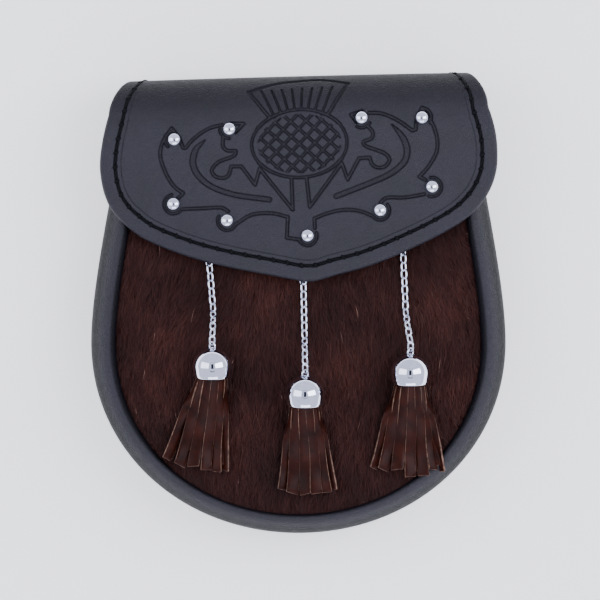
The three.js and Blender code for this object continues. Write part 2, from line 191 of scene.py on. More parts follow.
def points_of(obj: bpy.types.Object) -> np.ndarray:
    """The vertices of a mesh object, three columns."""
    co = np.empty(len(obj.data.vertices) * 3, np.float32)
    obj.data.vertices.foreach_get("co", co)
    return co.reshape(-1, 3).astype(float)


def move_points(obj: bpy.types.Object, points: np.ndarray) -> None:
    """Moves the vertices of a mesh object to new places."""
    obj.data.vertices.foreach_set("co", np.asarray(points, np.float32).ravel())
    obj.data.update()


def put(obj: bpy.types.Object, turn: np.ndarray, at: np.ndarray) -> None:
    """Turns a piece about its origin and moves it to a place."""
    move_points(obj, points_of(obj) @ turn.T + at)


def add_shape(name: str, operator: Callable[..., object], **settings: object) -> bpy.types.Object:
    """Adds one of Blender's primitive meshes under a name.

    Args:
        name: The object's name.
        operator: The operator that adds it.
        settings: The operator's settings.

    Returns:
        The new object, active.
    """
    deselect()
    operator(**settings)
    obj = bpy.context.object
    obj.name = obj.data.name = name
    return obj


def add_mesh(name: str, points: np.ndarray, faces: Sequence[Sequence[int]]) -> bpy.types.Object:
    """Adds a mesh object from its points and faces."""
    mesh = bpy.data.meshes.new(name)
    mesh.from_pydata(points.tolist(), [], faces)
    mesh.update()
    obj = bpy.data.objects.new(name, mesh)
    bpy.context.collection.objects.link(obj)
    return obj


def add_grid(name: str, columns: int, rows: int) -> bpy.types.Object:
    """Adds a flat grid whose vertices run along X first.

    Args:
        name: The object's name.
        columns: Vertices along X.
        rows: Vertices along Y.

    Returns:
        The new object, active.
    """
    cells = {"x_subdivisions": columns - 1, "y_subdivisions": rows - 1}
    return add_shape(name, bpy.ops.mesh.primitive_grid_add, size=2, **cells)


def edit(obj: bpy.types.Object, *steps: Callable[[], object], select: bool = True) -> None:
    """Runs edit-mode operators on a mesh.

    Args:
        obj: The mesh object.
        steps: Calls without arguments, each one operator.
        select: Whether everything is selected first.
    """
    activate(obj)
    if select:
        bpy.context.tool_settings.mesh_select_mode = (True, False, False)
    bpy.ops.object.mode_set(mode="EDIT")
    if select:
        bpy.ops.mesh.select_all(action="SELECT")
    for step in steps:
        step()
    bpy.ops.object.mode_set(mode="OBJECT")


def weld(obj: bpy.types.Object, distance: float = 0.002) -> None:
    """Merges doubles within a distance in the mesh's own units and turns all faces outwards."""
    edit(
        obj,
        lambda: bpy.ops.mesh.remove_doubles(threshold=distance),
        lambda: bpy.ops.mesh.normals_make_consistent(inside=False),
    )


def select_faces(obj: bpy.types.Object, chosen: np.ndarray) -> None:
    """Leaves exactly the chosen faces selected for the next edit-mode operator."""
    mesh = obj.data
    bpy.context.tool_settings.mesh_select_mode = (False, False, True)
    mesh.vertices.foreach_set("select", np.zeros(len(mesh.vertices), bool))
    mesh.edges.foreach_set("select", np.zeros(len(mesh.edges), bool))
    mesh.polygons.foreach_set("select", chosen.astype(bool))
    mesh.update()


def smooth(obj: bpy.types.Object, angle: float = 40) -> None:
    """Shades a mesh smooth, with edges sharper than an angle in degrees left crisp."""
    activate(obj)
    bpy.ops.object.shade_smooth_by_angle(angle=math.radians(angle))


def modify(obj: bpy.types.Object, kind: str, **settings: object) -> None:
    """Adds a modifier with its settings and applies it."""
    activate(obj)
    modifier = obj.modifiers.new(kind.title(), kind)
    for name, value in settings.items():
        setattr(modifier, name, value)
    bpy.ops.object.modifier_apply(modifier=modifier.name)


def lathe(name: str, profile: Sequence[tuple[float, float]], segments: int) -> bpy.types.Object:
    """Turns a profile about Y by extruding a circle ring by ring.

    Args:
        name: The object's name.
        profile: Radius and height of each ring. A zero radius closes the end on the axis.
        segments: Vertices round the axis.

    Returns:
        The turned body, with its doubles merged.
    """
    obj = add_shape(name, bpy.ops.mesh.primitive_circle_add, vertices=segments, radius=1)
    rings = [lambda: bpy.ops.mesh.extrude_region_move(TRANSFORM_OT_translate={"value": (0, 0, 1)})]
    edit(obj, *(rings * (len(profile) - 1)))
    circle = points_of(obj)[:segments]
    x, z = circle[:, 0], -circle[:, 1]
    move_points(obj, np.vstack([np.stack([x * r, np.full(segments, h), z * r], 1) for r, h in profile]))
    weld(obj, 0.0005)
    return obj


def repeat(
    name: str, model: bpy.types.Object, places: Sequence[tuple[np.ndarray, np.ndarray]]
) -> bpy.types.Object:
    """Copies one modelled piece to many places as one joined mesh, and removes the model.

    Args:
        name: The new object's name.
        model: The piece, round its own origin.
        places: A 3 by 3 turn and a position for each copy.

    Returns:
        The joined mesh.
    """
    shape = points_of(model)
    faces = [tuple(p.vertices) for p in model.data.polygons]
    points, all_faces = [], []
    for i, (turn, at) in enumerate(places):
        points.append(shape @ turn.T + at)
        all_faces += [tuple(v + i * len(shape) for v in face) for face in faces]
    obj = add_mesh(name, np.vstack(points), all_faces)
    bpy.data.objects.remove(model)
    return obj


def add_attribute(obj: bpy.types.Object, name: str, values: np.ndarray) -> None:
    """Stores one number a vertex for the materials to read."""
    attribute = obj.data.attributes.new(name, "FLOAT", "POINT")
    attribute.data.foreach_set("value", np.asarray(values, np.float32))


# ------------------------------------------------------------------ materials


def linear(code: str) -> tuple[float, float, float, float]:
    """The linear colour of an sRGB hex code such as "#2b2c36"."""
    channels = [int(code[i : i + 2], 16) / 255 for i in (1, 3, 5)]
    return (*[c / 12.92 if c <= 0.04045 else ((c + 0.055) / 1.055) ** 2.4 for c in channels], 1.0)


def add_node(
    material: bpy.types.Material,
    kind: str,
    settings: dict[str, object] | None = None,
    inputs: dict[str, object] | None = None,
) -> bpy.types.Node:
    """Adds a node with its settings and links.

    Args:
        material: The material whose tree takes the node.
        kind: The node's type, without the ShaderNode prefix.
        settings: Properties of the node.
        inputs: Values or output sockets by the name of the input.

    Returns:
        The new node.
    """
    node = material.node_tree.nodes.new("ShaderNode" + kind)
    for name, value in (settings or {}).items():
        setattr(node, name, value)
    for name, value in (inputs or {}).items():
        socket = node.inputs[int(name)] if name.isdigit() else node.inputs[name]
        if isinstance(value, bpy.types.NodeSocket):
            material.node_tree.links.new(value, socket)
        else:
            socket.default_value = value
    return node


def new_material(name: str) -> bpy.types.Material:
    """A material with an empty node tree."""
    material = bpy.data.materials.new(name)
    material.use_nodes = True
    material.node_tree.nodes.clear()
    return material


def place_on_piece(material: bpy.types.Material) -> bpy.types.NodeSocket:
    """The socket that gives a point's place on its own piece, in metres."""
    return add_node(material, "TexCoord").outputs["Object"]


def noise(
    material: bpy.types.Material,
    place: bpy.types.NodeSocket,
    cloud: float,
    detail: float,
    roughness: float = 0.5,
) -> bpy.types.NodeSocket:
    """Cloudy noise.

    Args:
        material: The material whose tree takes the node.
        place: Where the noise is read.
        cloud: The size of its largest clouds in metres.
        detail: How many finer layers it has.
        roughness: How strong the finer layers are.

    Returns:
        The noise's socket, from 0 to 1.
    """
    inputs = {"Vector": place, "Scale": 1 / cloud, "Detail": detail, "Roughness": roughness}
    return add_node(material, "TexNoise", inputs=inputs).outputs["Fac"]


def relief(
    material: bpy.types.Material, height: bpy.types.NodeSocket, strength: float, depth_mm: float
) -> bpy.types.NodeSocket:
    """The normal of a surface with a relief of this depth in millimetres."""
    inputs = {"Strength": strength, "Distance": depth_mm * MM, "Height": height}
    return add_node(material, "Bump", inputs=inputs).outputs["Normal"]


def ramp(
    material: bpy.types.Material, factor: bpy.types.NodeSocket, stops: Sequence[tuple[float, str]]
) -> bpy.types.NodeSocket:
    """Colours a number.

    Args:
        material: The material whose tree takes the node.
        factor: The number, from 0 to 1.
        stops: Positions and sRGB hex codes.

    Returns:
        The colour's socket.
    """
    node = add_node(material, "ValToRGB", inputs={"Fac": factor})
    elements = node.color_ramp.elements
    while len(elements) < len(stops):
        elements.new(0.5)
    for element, (position, code) in zip(elements, stops):
        element.position = position
        element.color = linear(code)
    return node.outputs["Color"]


def finish_shader(material: bpy.types.Material, inputs: dict[str, object]) -> bpy.types.Material:
    """Ends a material in a Principled shader with these inputs."""
    shader = add_node(material, "BsdfPrincipled", inputs=inputs)
    add_node(material, "OutputMaterial", inputs={"Surface": shader.outputs["BSDF"]})
    return material


@dataclass(frozen=True)
class BlackLeather:
    """Vegetable-tanned leather, dyed black, pressed and waxed: cool satin black with a fine pebbled grain."""

    name: str = "black_bridle_leather"
    body: str = "#0f0c17"
    worn: str = "#15111f"
    # Near black mixed in by the vertex attribute: dye and wax in the flap's grooves, painted shade elsewhere.
    deep: str = "#020203"
    roughness: float = 0.5
    uneven: float = 0.16
    grain_mm: float = 0.55
    relief_mm: float = 0.3

    def build(self) -> bpy.types.Material:
        """Makes the material. A vertex attribute darkens the colour and dulls the gloss. It is partly dye and
        wax collected in the flap's grooves. It is partly painted shade on the groove walls, along the flap's
        fold, on the gusset's outer wall and in the gusset's crease against the fur.
        """
        material = new_material(self.name)
        place = place_on_piece(material)
        rubbed = ramp(material, noise(material, place, 0.018, 4.0), [(0.35, self.body), (0.7, self.worn)])
        # Dye and painted shade: the vertex attribute mixes the rubbed colour towards near black.
        dye_and_shade = add_node(material, "Attribute", {"attribute_name": "dye_and_shade"}).outputs["Fac"]
        mixed = {"Factor": dye_and_shade, "6": rubbed, "7": linear(self.deep)}
        colour = add_node(material, "Mix", {"data_type": "RGBA"}, mixed).outputs[2]
        cells = {"Vector": place, "Scale": 1000 / self.grain_mm, "Randomness": 1.0}
        pebbles = add_node(material, "TexVoronoi", {"feature": "F1"}, cells).outputs["Distance"]
        creases = noise(material, place, 0.0022, 6.0, 0.7)
        summed = {"0": creases, "1": 1.2, "2": pebbles}
        height = add_node(material, "Math", {"operation": "MULTIPLY_ADD"}, summed).outputs[0]
        rough = {"To Min": self.roughness - self.uneven, "To Max": self.roughness + self.uneven}
        shine = add_node(material, "MapRange", inputs={"Value": creases, **rough}).outputs[0]
        # Painted shade in the gloss: where the vertex attribute is high, the reflection is cut almost to
        # nothing.
        dull = add_node(material, "MapRange", inputs={"Value": dye_and_shade, "To Min": 0.5, "To Max": 0.04}).outputs[0]
        return finish_shader(
            material,
            {
                "Base Color": colour,
                "Roughness": shine,
                "IOR": 1.5,
                "Specular IOR Level": dull,
                "Normal": relief(material, height, 0.8, self.relief_mm),
            },
        )


@dataclass(frozen=True)
class CutEdge:
    """Raw fibre on the cut edges of leather: tan, matt and a little fuzzy."""

    name: str = "raw_cut_leather_edge"
    dark: str = "#4a3228"
    body: str = "#8c6b58"

    def build(self) -> bpy.types.Material:
        """Makes the material."""
        material = new_material(self.name)
        fuzz = noise(material, place_on_piece(material), 0.002, 5.0)
        colour = ramp(material, fuzz, [(0.35, self.dark), (0.65, self.body)])
        normal = relief(material, fuzz, 0.7, 0.05)
        return finish_shader(material, {"Base Color": colour, "Roughness": 0.85, "Normal": normal})


@dataclass(frozen=True)
class BrownLeather:
    """Thin glazed leather cut into strips: dark chestnut with a shine."""

    name: str = "glazed_brown_leather"
    dark: str = "#1e0a06"
    body: str = "#34140c"
    roughness: float = 0.36

    def build(self) -> bpy.types.Material:
        """Makes the material."""
        material = new_material(self.name)
        place = place_on_piece(material)
        colour = ramp(material, noise(material, place, 0.006, 4.0), [(0.3, self.dark), (0.68, self.body)])
        return finish_shader(
            material,
            {
                "Base Color": colour,
                "Roughness": self.roughness,
                "IOR": 1.45,
                "Specular IOR Level": 0.12,
                "Normal": relief(material, noise(material, place, 0.0009, 3.0), 0.35, 0.03),
            },
        )


@dataclass(frozen=True)
class Hide:
    """The skin that the hair grows on: near black brown, matt, with a velvety nap."""

    name: str = "brown_hide_skin"
    dark: str = "#160c0b"
    body: str = "#2a1613"

    def build(self) -> bpy.types.Material:
        """Makes the material."""
        material = new_material(self.name)
        drawn_out = {"Vector": place_on_piece(material), "Scale": (1.0, 0.12, 1.0)}
        nap = noise(material, add_node(material, "Mapping", inputs=drawn_out).outputs[0], 0.0006, 4.0)
        colour = ramp(material, nap, [(0.35, self.dark), (0.7, self.body)])
        normal = relief(material, nap, 0.8, 0.2)
        return finish_shader(material, {"Base Color": colour, "Roughness": 0.85, "Normal": normal})


@dataclass(frozen=True)
class Hair:
    """Short bovine hair lying flat: reddish dark brown, lighter in clumps, with a little gloss; a few hairs
    are painted pale as painted highlights.
    """

    name: str = "brown_bovine_hair"
    dark: str = "#180807"
    body: str = "#361713"
    light: str = "#573027"
    # Painted highlight: the pale brown of the few hairs that stand for glints of light on single hairs.
    painted_glint: str = "#957365"

    def build(self) -> bpy.types.Material:
        """Makes the material. The vertex attribute "tone" gives each hair its shade."""
        material = new_material(self.name)
        tone = add_node(material, "Attribute", {"attribute_name": "tone"}).outputs["Fac"]
        stops = [(0.0, self.dark), (0.45, self.body), (0.85, self.light), (1.0, self.painted_glint)]
        coat = {"Roughness": 0.55, "IOR": 1.45, "Specular IOR Level": 0.2}
        return finish_shader(material, {"Base Color": ramp(material, tone, stops), **coat})


@dataclass(frozen=True)
class Chrome:
    """Bright nickel-chrome plate on brass: polished, faintly blue, with the slightest orange peel."""

    name: str = "polished_chrome_plate"
    body: str = "#f2f5ff"
    shaded: str = "#e6eafa"
    roughness: float = 0.06

    def build(self) -> bpy.types.Material:
        """Makes the material."""
        material = new_material(self.name)
        peel = noise(material, place_on_piece(material), 0.0022, 2.0)
        colour = ramp(material, peel, [(0.3, self.shaded), (0.7, self.body)])
        plate = {"Metallic": 1.0, "Roughness": self.roughness, "Normal": relief(material, peel, 0.25, 0.02)}
        return finish_shader(material, {"Base Color": colour, **plate})


@dataclass(frozen=True)
class WaxedThread:
    """Thick black waxed thread, twisted: nearly matt, with the twist as fine slanting ridges."""

    name: str = "black_waxed_thread"
    body: str = "#040406"
    light: str = "#0a0a0e"

    def build(self) -> bpy.types.Material:
        """Makes the material."""
        material = new_material(self.name)
        slanted = {"Vector": place_on_piece(material), "Rotation": (0.0, 0.0, 0.8)}
        turned = add_node(material, "Mapping", inputs=slanted).outputs[0]
        ridges = {"Vector": turned, "Scale": 1 / 0.0011, "Distortion": 0.6}
        twist = add_node(material, "TexWave", {"wave_type": "BANDS"}, ridges).outputs["Fac"]
        colour = ramp(material, twist, [(0.2, self.body), (0.9, self.light)])
        wax = {"Roughness": 0.6, "Specular IOR Level": 0.12, "Normal": relief(material, twist, 0.6, 0.05)}
        return finish_shader(material, {"Base Color": colour, **wax})


@dataclass(frozen=True)
class StudioWhite:
    """Matt white studio floor."""

    name: str = "matt_white_floor"
    body: str = "#f7f7f7"

    def build(self) -> bpy.types.Material:
        """Makes the material."""
        material = new_material(self.name)
        return finish_shader(
            material,
            {
                "Base Color": linear(self.body),
                "Roughness": 0.9,
                "Emission Color": (1.0, 1.0, 1.0, 1.0),
                "Emission Strength": 0.9,
            },
        )


@dataclass
class Finishes:
    """Every material of the sporran, made once."""

    black: bpy.types.Material = field(default_factory=lambda: BlackLeather().build())
    brown: bpy.types.Material = field(default_factory=lambda: BrownLeather().build())
    cut: bpy.types.Material = field(default_factory=lambda: CutEdge().build())
    hide: bpy.types.Material = field(default_factory=lambda: Hide().build())
    hair: bpy.types.Material = field(default_factory=lambda: Hair().build())
    chrome: bpy.types.Material = field(default_factory=lambda: Chrome().build())
    thread: bpy.types.Material = field(default_factory=lambda: WaxedThread().build())


# ------------------------------------------------------------------ the bag's form


@dataclass(frozen=True)
class Lay:
    """How the bag lies: it leans on its belt loops and on the lower end of its back."""

    back_low_y: float = -99.6
    back_thick: float = 2.6
    loop_drop: float = 7.0
    loop_low_y: float = 30.0

    @property
    def slope(self) -> float:
        """The lean as a gradient."""
        return self.loop_drop / (self.loop_low_y - self.back_low_y)

    def place(self, points: np.ndarray) -> np.ndarray:
        """Takes points from the bag's frame in millimetres to the row frame in metres."""
        angle = math.atan(self.slope)
        c, s = math.cos(angle), math.sin(angle)
        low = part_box("back_panel")[0][1] / MM
        shift_y = low - (self.back_low_y * c - self.back_thick * s)
        x, y, z = np.asarray(points, float).T
        return np.stack([x, y * c - z * s + shift_y, y * s + z * c - self.back_low_y * s], axis=1) * MM


@dataclass(frozen=True)
class PouchForm:
    """The outline and the heights that all the pieces of the pouch share."""

    widest: float = 91.1
    widest_y: float = -16.3
    bottom_y: float = -100.3
    top_half: float = 76.1
    top_y: float = 83.2
    belly: float = 36.0
    mouth: float = 25.0
    rim_side: float = 11.0
    rim_bottom: float = 9.4
    fur_below: float = 3.0
    crown: float = 5.0

    def outline(self, count: int) -> tuple[np.ndarray, np.ndarray]:
        """The outermost outline, from the mouth round the bottom to the other side of the mouth.

        Args:
            count: How many points.

        Returns:
            The points and the inward unit normals at them.
        """
        t = np.linspace(0, 1, 300)[:, None]
        mouth, side = np.array([-self.top_half, self.top_y]), np.array([-self.widest, self.widest_y])
        bottom = np.array([0, self.bottom_y])
        half = []
        for a, b, c, d in (
            (mouth, mouth + [-6.3, -36], side + [0, 24], side),
            (side, side + [0, -48], bottom + [-51, 0], bottom),
        ):
            half.append((1 - t) ** 3 * a + 3 * t * (1 - t) ** 2 * b + 3 * t**2 * (1 - t) * c + t**3 * d)
        left = np.vstack([half[0][:-1], half[1]])
        points = even(np.vstack([left, left[-2::-1] * [-1, 1]]), count)
        tangent = np.gradient(points, axis=0)
        tangent /= np.linalg.norm(tangent, axis=1)[:, None]
        return points, np.stack([-tangent[:, 1], tangent[:, 0]], axis=1)

    def rim_width(self, inward: np.ndarray) -> np.ndarray:
        """The width of the rolled rim where the outline's inward normal is this."""
        return self.rim_side + (self.rim_bottom - self.rim_side) * inward[..., 1] ** 2

    def rim_z(self, y: np.ndarray | float) -> np.ndarray:
        """The height of the rim's crown."""
        return self.belly + (self.mouth - self.belly) * ease(y, -30, 95)

    def fur_z(self, x: np.ndarray | float, y: np.ndarray | float) -> np.ndarray:
        """The height of the fur's outer surface."""
        across = np.maximum(0, 1 - (np.asarray(x) / 80) ** 2)
        along = np.maximum(0, 1 - ((np.asarray(y) + 6) / 96) ** 2)
        return self.rim_z(y) - self.fur_below + self.crown * across * along

    def fur_normal(self, x: float, y: float) -> np.ndarray:
        """The unit normal of the fur's outer surface."""
        dx = float(self.fur_z(x + 0.5, y) - self.fur_z(x - 0.5, y))
        dy = float(self.fur_z(x, y + 0.5) - self.fur_z(x, y - 0.5))
        normal = np.array([-dx, -dy, 1.0])
        return normal / np.linalg.norm(normal)

    def fur_edge(self, count: int) -> np.ndarray:
        """The line where the hide meets the rolled rim."""
        points, inward = self.outline(count)
        return points + inward * self.rim_width(inward)[:, None]

    def fur_side(self, count: int) -> np.ndarray:
        """The left half of that line, from the bottom up, when the whole has so many points."""
        return self.fur_edge(count)[: count // 2][::-1]


@dataclass
class Maker:
    """What every sub-assembly needs: the bag's form, how it lies, and its finishes."""

    form: PouchForm
    lay: Lay
    finishes: Finishes

    def hand_in(
        self, obj: bpy.types.Object, material: bpy.types.Material, slot: Slot, nodes: Sequence[str] = ()
    ) -> None:
        """Args:
            obj: The piece, in the bag's frame.
            material: Its finish.
            slot: The record's slot that it belongs to; not used.
            nodes: The CAD nodes that it stands for.
        """
        move_points(obj, self.lay.place(points_of(obj)))
        if not obj.data.materials:
            obj.data.materials.append(material)
        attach(obj, "root")
        if nodes:
            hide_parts(*nodes)
        LOG.info("%s: %d faces", obj.name, len(obj.data.polygons))


# ------------------------------------------------------------------ pouch


@dataclass
class Pouch(Maker):
    """Back panel, gusset with its rolled rim, and the hide that carries the fur."""

    wall: float = 2.0
    flange: float = 9.0
    stations: int = 220
    hide_depth: float = 2.3

    def build(self) -> None:
        """Makes the three pieces."""
        self.back_panel()
        self.gusset()
        self.hide()

    def back_panel(self) -> None:
        """The flat back: a disc shaped to the outline, extruded and rounded along its edges."""
        points, inward = self.form.outline(180)
        edge = points + inward * 0.7
        disc = {"vertices": len(edge), "radius": 1, "fill_type": "NGON"}
        panel = add_shape("pouch_back", bpy.ops.mesh.primitive_circle_add, **disc)
        move_points(panel, np.column_stack([edge, np.zeros(len(edge))]))
        thick = {"value": (0, 0, self.lay.back_thick)}
        edit(panel, lambda: bpy.ops.mesh.extrude_region_move(TRANSFORM_OT_translate=thick))
        weld(panel)
        modify(panel, "BEVEL", width=0.8, segments=3, limit_method="ANGLE", angle_limit=math.radians(50))
        smooth(panel)
        self.hand_in(panel, self.finishes.black, Slot.BLACK_LEATHER, ["back_panel"])

    def section(self, depth: np.ndarray, rim: np.ndarray, steps: int) -> np.ndarray:
        """The gusset's middle line at each station.

        Args:
            depth: The depth of the pouch at each station.
            rim: The width of the rim at each station.
            steps: Samples in each span of the line.

        Returns:
            Inset and height, stations by samples by two.
        """
        low = self.lay.back_thick + 0.3 + self.wall / 2
        lines = []
        for d, r in zip(depth, rim):
            row = [
                (self.flange, low),
                (3, low),
                (1.25, low + 1.6),
                (1, d * 0.38),
                (1, d - 13.5),
                (2.3, d - 7.2),
                (4.9, d - 2.7),
                (8 - (self.form.rim_side - r) / 2, d - 1),
                (r - 1.3, d - 2.3),
                (r - 1, d - 5.2),
            ]
            lines.append(spline(row, steps))
        return np.array(lines)

    def gusset(self) -> None:
        """The side wall: a sheet along the outline, given its thickness on the inside."""
        points, inward = self.form.outline(self.stations)
        line = self.section(self.form.rim_z(points[:, 1]), self.form.rim_width(inward), 4)
        tangent = np.gradient(line, axis=1)
        tangent /= np.linalg.norm(tangent, axis=2)[..., None]
        normal = np.stack([-tangent[..., 1], tangent[..., 0]], axis=2)
        outer, inner = line + normal * self.wall / 2, line - normal * self.wall / 2
        closed = np.concatenate([outer, inner[:, ::-1]], axis=1)
        closed = np.concatenate([closed, closed[:, :1]], axis=1)
        rows = closed.shape[1]
        wall = add_grid("pouch_gusset", rows, self.stations)
        inset, height = closed[..., 0], closed[..., 1]
        x = points[:, :1] + inward[:, :1] * inset
        y = points[:, 1:] + inward[:, 1:] * inset
        move_points(wall, np.stack([x, y, height], axis=2).reshape(-1, 3))
        edit(wall, lambda: bpy.ops.mesh.remove_doubles(threshold=0.002))
        edit(wall, lambda: bpy.ops.mesh.fill_holes(sides=0))
        weld(wall)
        # Painted shade, not dye: the outer wall within about 5 mm of the outline is darkened and its gloss
        # dulled. A painted shadow darkens the rim's inner edge where it meets the fur.
        spot = points_of(wall)
        inset = segment_distance(spot[:, :2], points)
        dye_and_shade = np.maximum(0.9 * (1 - ease(inset, 1.0, 5.5)), 0.7 * ease(inset, 7.6, 9.2))
        add_attribute(wall, "dye_and_shade", dye_and_shade)
        smooth(wall, 50)
        self.hand_in(wall, self.finishes.black, Slot.BLACK_LEATHER, ["gusset"])

    def hide(self) -> None:
        """The domed skin under the hair, tucked in against the rim."""
        columns, rows = 70, 80
        left = self.form.fur_side(400)
        low = left[0, 1] + 0.25
        at = low + (81.6 - low) * np.linspace(0, 1, rows) ** 1.6
        half = -np.interp(at, left[:, 1], left[:, 0]) - 0.15
        across = np.linspace(-1, 1, columns)
        x = half[:, None] * across
        y = np.repeat(at[:, None], columns, axis=1)
        z = self.form.fur_z(x, y) - self.hide_depth
        skin = add_grid("fur_hide", columns, rows)
        move_points(skin, np.stack([x, y, z], axis=2).reshape(-1, 3))
        weld(skin)
        modify(skin, "SOLIDIFY", thickness=1.2, offset=-1)
        smooth(skin)
        self.hand_in(skin, self.finishes.hide, Slot.BROWN_FUR, ["fur_panel"])


@dataclass
class Fur(Maker):
    """The short hair of the front, as joined meshes of fine ribbons."""

    patches: int = 4
    hairs: int = 24500
    length: tuple[float, float] = (8.0, 13.0)
    widths: tuple[float, ...] = (0.26, 0.24, 0.17, 0.03)
    rooted: float = 2.2
    rise: float = 2.1
    seed: int = 11

    def build(self) -> None:
        """Makes every patch of hair."""
        count = self.hairs
        for patch in range(self.patches):
            self.patch(f"fur_hair_{patch + 1}", count, np.random.default_rng(self.seed + patch))

    def field(self, x: np.ndarray, y: np.ndarray, scale: float, phase: float) -> np.ndarray:
        """A smooth wandering value from about -1 to 1.

        Args:
            x: Places across.
            y: Places along.
            scale: The size of its swirls in millimetres.
            phase: A number that sets one field apart from another.

        Returns:
            One value a place.
        """
        u, v = x / scale, y / scale
        waves = np.sin(2.1 * u + 1.3 * v + phase) + np.sin(-1.7 * u + 2.4 * v + 2.7 * phase)
        waves += np.sin(3.3 * u - 0.6 * v + 1.9 * phase) * 0.7 + np.sin(0.9 * u + 3.9 * v - phase) * 0.6
        return waves / 2.4

    def roots(self, count: int, rng: np.random.Generator) -> np.ndarray:
        """Scatters roots over the hide where hair is seen.

        Args:
            count: How many hairs.
            rng: The source of chance.

        Returns:
            The roots, two columns.
        """
        left = self.form.fur_side(200)
        found: list[np.ndarray] = []
        while sum(map(len, found)) < count:
            x = rng.uniform(-80, 80, count)
            y = rng.uniform(-91, 56, count)
            inside = np.abs(x) < -np.interp(y, left[:, 1], left[:, 0]) - 0.5
            hidden = y > 33 - np.abs(x) * 0.02 + 0.0045 * x**2
            keep = inside & (~hidden | (rng.random(count) < 0.25))
            found.append(np.stack([x, y], axis=1)[keep])
        return np.vstack(found)[:count]

    def patch(self, name: str, count: int, rng: np.random.Generator) -> None:
        """One joined mesh of hairs.

        Args:
            name: The piece's name.
            count: How many hairs.
            rng: The source of chance.
        """
        root = self.roots(count, rng)
        x, y = root.T
        fan = 0.28 * x * ease(y, -70, 40)
        swirl = 15 * self.field(x, y, 34, 1.0) + 7 * self.field(x, y, 13, 4.0)
        angle = np.radians(-90 + fan + swirl + rng.normal(0, 5, count))
        curl = np.radians(rng.normal(0, 11, count))
        length = rng.uniform(*self.length, count)
        room = segment_distance(root, self.form.fur_edge(90))
        steps = len(self.widths)
        stops = np.linspace(0, 1, steps)
        rise = self.rise * rng.uniform(0.45, 1.15, count)
        outward = np.abs(x + np.cos(angle) * length)
        tip_y = y + np.sin(angle) * length
        left = self.form.fur_side(90)
        over = outward + np.interp(tip_y, left[:, 1], left[:, 0])
        below = left[0, 1] + 0.0035 * x**2 - tip_y
        excess = np.maximum(np.maximum(over, below), 0)
        length = np.where(excess > 0, np.maximum(np.minimum(length, room * 1.1 + 1.3), 1.5), length)
        roll = np.radians(rng.normal(0, 28, count))
        rows = []
        for t, width in zip(stops, self.widths):
            heading = angle + curl * t
            px = x + np.cos(heading) * length * t
            py = y + np.sin(heading) * length * t
            lift = rise * np.sin(np.minimum(t * 1.9, 1.57)) - 0.5 * t * t
            pz = self.form.fur_z(px, py) - self.rooted + lift
            level = np.cos(roll)
            side = np.stack([-np.sin(heading) * level, np.cos(heading) * level, np.sin(roll)], axis=1)
            middle = np.stack([px, py, pz], axis=1)
            rows += [middle - side * width / 2, middle + side * width / 2]
        points = np.stack(rows, axis=1).reshape(-1, 3)
        first = (np.arange(count) * 2 * steps)[:, None]
        quads = [first + 2 * k + np.array([0, 1, 3, 2]) for k in range(steps - 1)]
        hair = add_mesh(name, points, np.concatenate(quads).tolist())
        clump = self.field(x, y, 21, 2.0) * 0.7 + self.field(x, y, 6, 5.0) * 0.35
        tone = 0.44 - 0.14 * ease(-y, 35, 90) + 0.2 * clump + rng.normal(0, 0.11, count)
        tone = np.clip(tone, 0, 0.86)
        # Painted highlights: about one hair in a thousand takes the palest colour, as a glint of light on a
        # single hair.
        tone = np.where(rng.random(count) < 0.0012, 1.0, tone)
        shade = np.linspace(-0.22, 0.08, steps)
        per_vertex = np.repeat(np.clip(tone[:, None] + shade, 0, 1), 2, axis=1)
        add_attribute(hair, "tone", per_vertex.ravel())
        activate(hair)
        bpy.ops.object.shade_smooth()
        self.hand_in(hair, self.finishes.hair, Slot.BROWN_FUR)


# ------------------------------------------------------------------ flap


@dataclass(frozen=True)
class Stroke:
    """One line of the embossing: points across and up the flap, and its half widths, in millimetres."""

    points: tuple[tuple[float, float], ...]
    half: tuple[float, ...] = (0.62,)
    curved: bool = True

    def line(self) -> tuple[np.ndarray, np.ndarray]:
        """The sampled line and its half widths."""
        table = np.column_stack([np.array(self.points), np.resize(self.half, len(self.points))])
        samples = spline(table, 6) if self.curved else table
        return samples[:, :2], samples[:, 2]


BAND = (0.2, 1.05, 1.25, 1.25, 1.2, 1.1, 1.05, 1.05)
LEFT_LEAF = {
    "outer scroll": Stroke(
        (
            (-55.6, 79.2), (-58, 75.5), (-60, 71.5), (-60.6, 66.5), (-59.5, 62), (-57, 56.5),
            (-54, 52.5), (-50.5, 50),
        ),
    ),
    "hood": Stroke(((-55.6, 79.2), (-52.6, 75), (-50.6, 70), (-49.4, 70)), curved=False),
    "top scroll": Stroke(((-49.4, 70), (-47, 73), (-43, 76.5), (-38.5, 79), (-33.5, 80.2))),
    "top point": Stroke(((-30, 80.8), (-24, 80.6), (-27.6, 76.8)), curved=False),
    "inner curl": Stroke(
        (
            (-33, 75), (-33.1, 70.6), (-31, 68.5), (-27.6, 68.4), (-28, 66.5), (-30.5, 65.2),
            (-35, 63.5), (-38, 60), (-36.4, 57.2), (-33, 56.5), (-30.6, 57.8), (-29.5, 61.5),
        ),
    ),
    "inner points": Stroke(
        (
            (-29.5, 61.5), (-25, 61.5), (-19, 53.5), (-17, 60.5), (-2.5, 42.6),
        ),
        curved=False,
    ),
    "crescent": Stroke(
        (
            (-41, 73.4), (-44.6, 69.8), (-46, 66.2), (-46.2, 62.5), (-44.2, 58), (-38.5, 53),
            (-28, 49.2), (-12.8, 47),
        ),
        BAND,
    ),
    "notch": Stroke(((-50.5, 50), (-53.4, 47.2)), curved=False),
    "lower edge": Stroke(((-51, 43.1), (-41.5, 43.4), (-34, 43.6), (-30.8, 42))),
    "root scroll": Stroke(((-27.6, 36.2), (-22, 39.8), (-17.5, 41), (-11, 41), (-4.6, 39.4))),
    "root": Stroke(((-4.6, 39.4), (-5.1, 30.4), (0.8, 29.6)), curved=False),
}
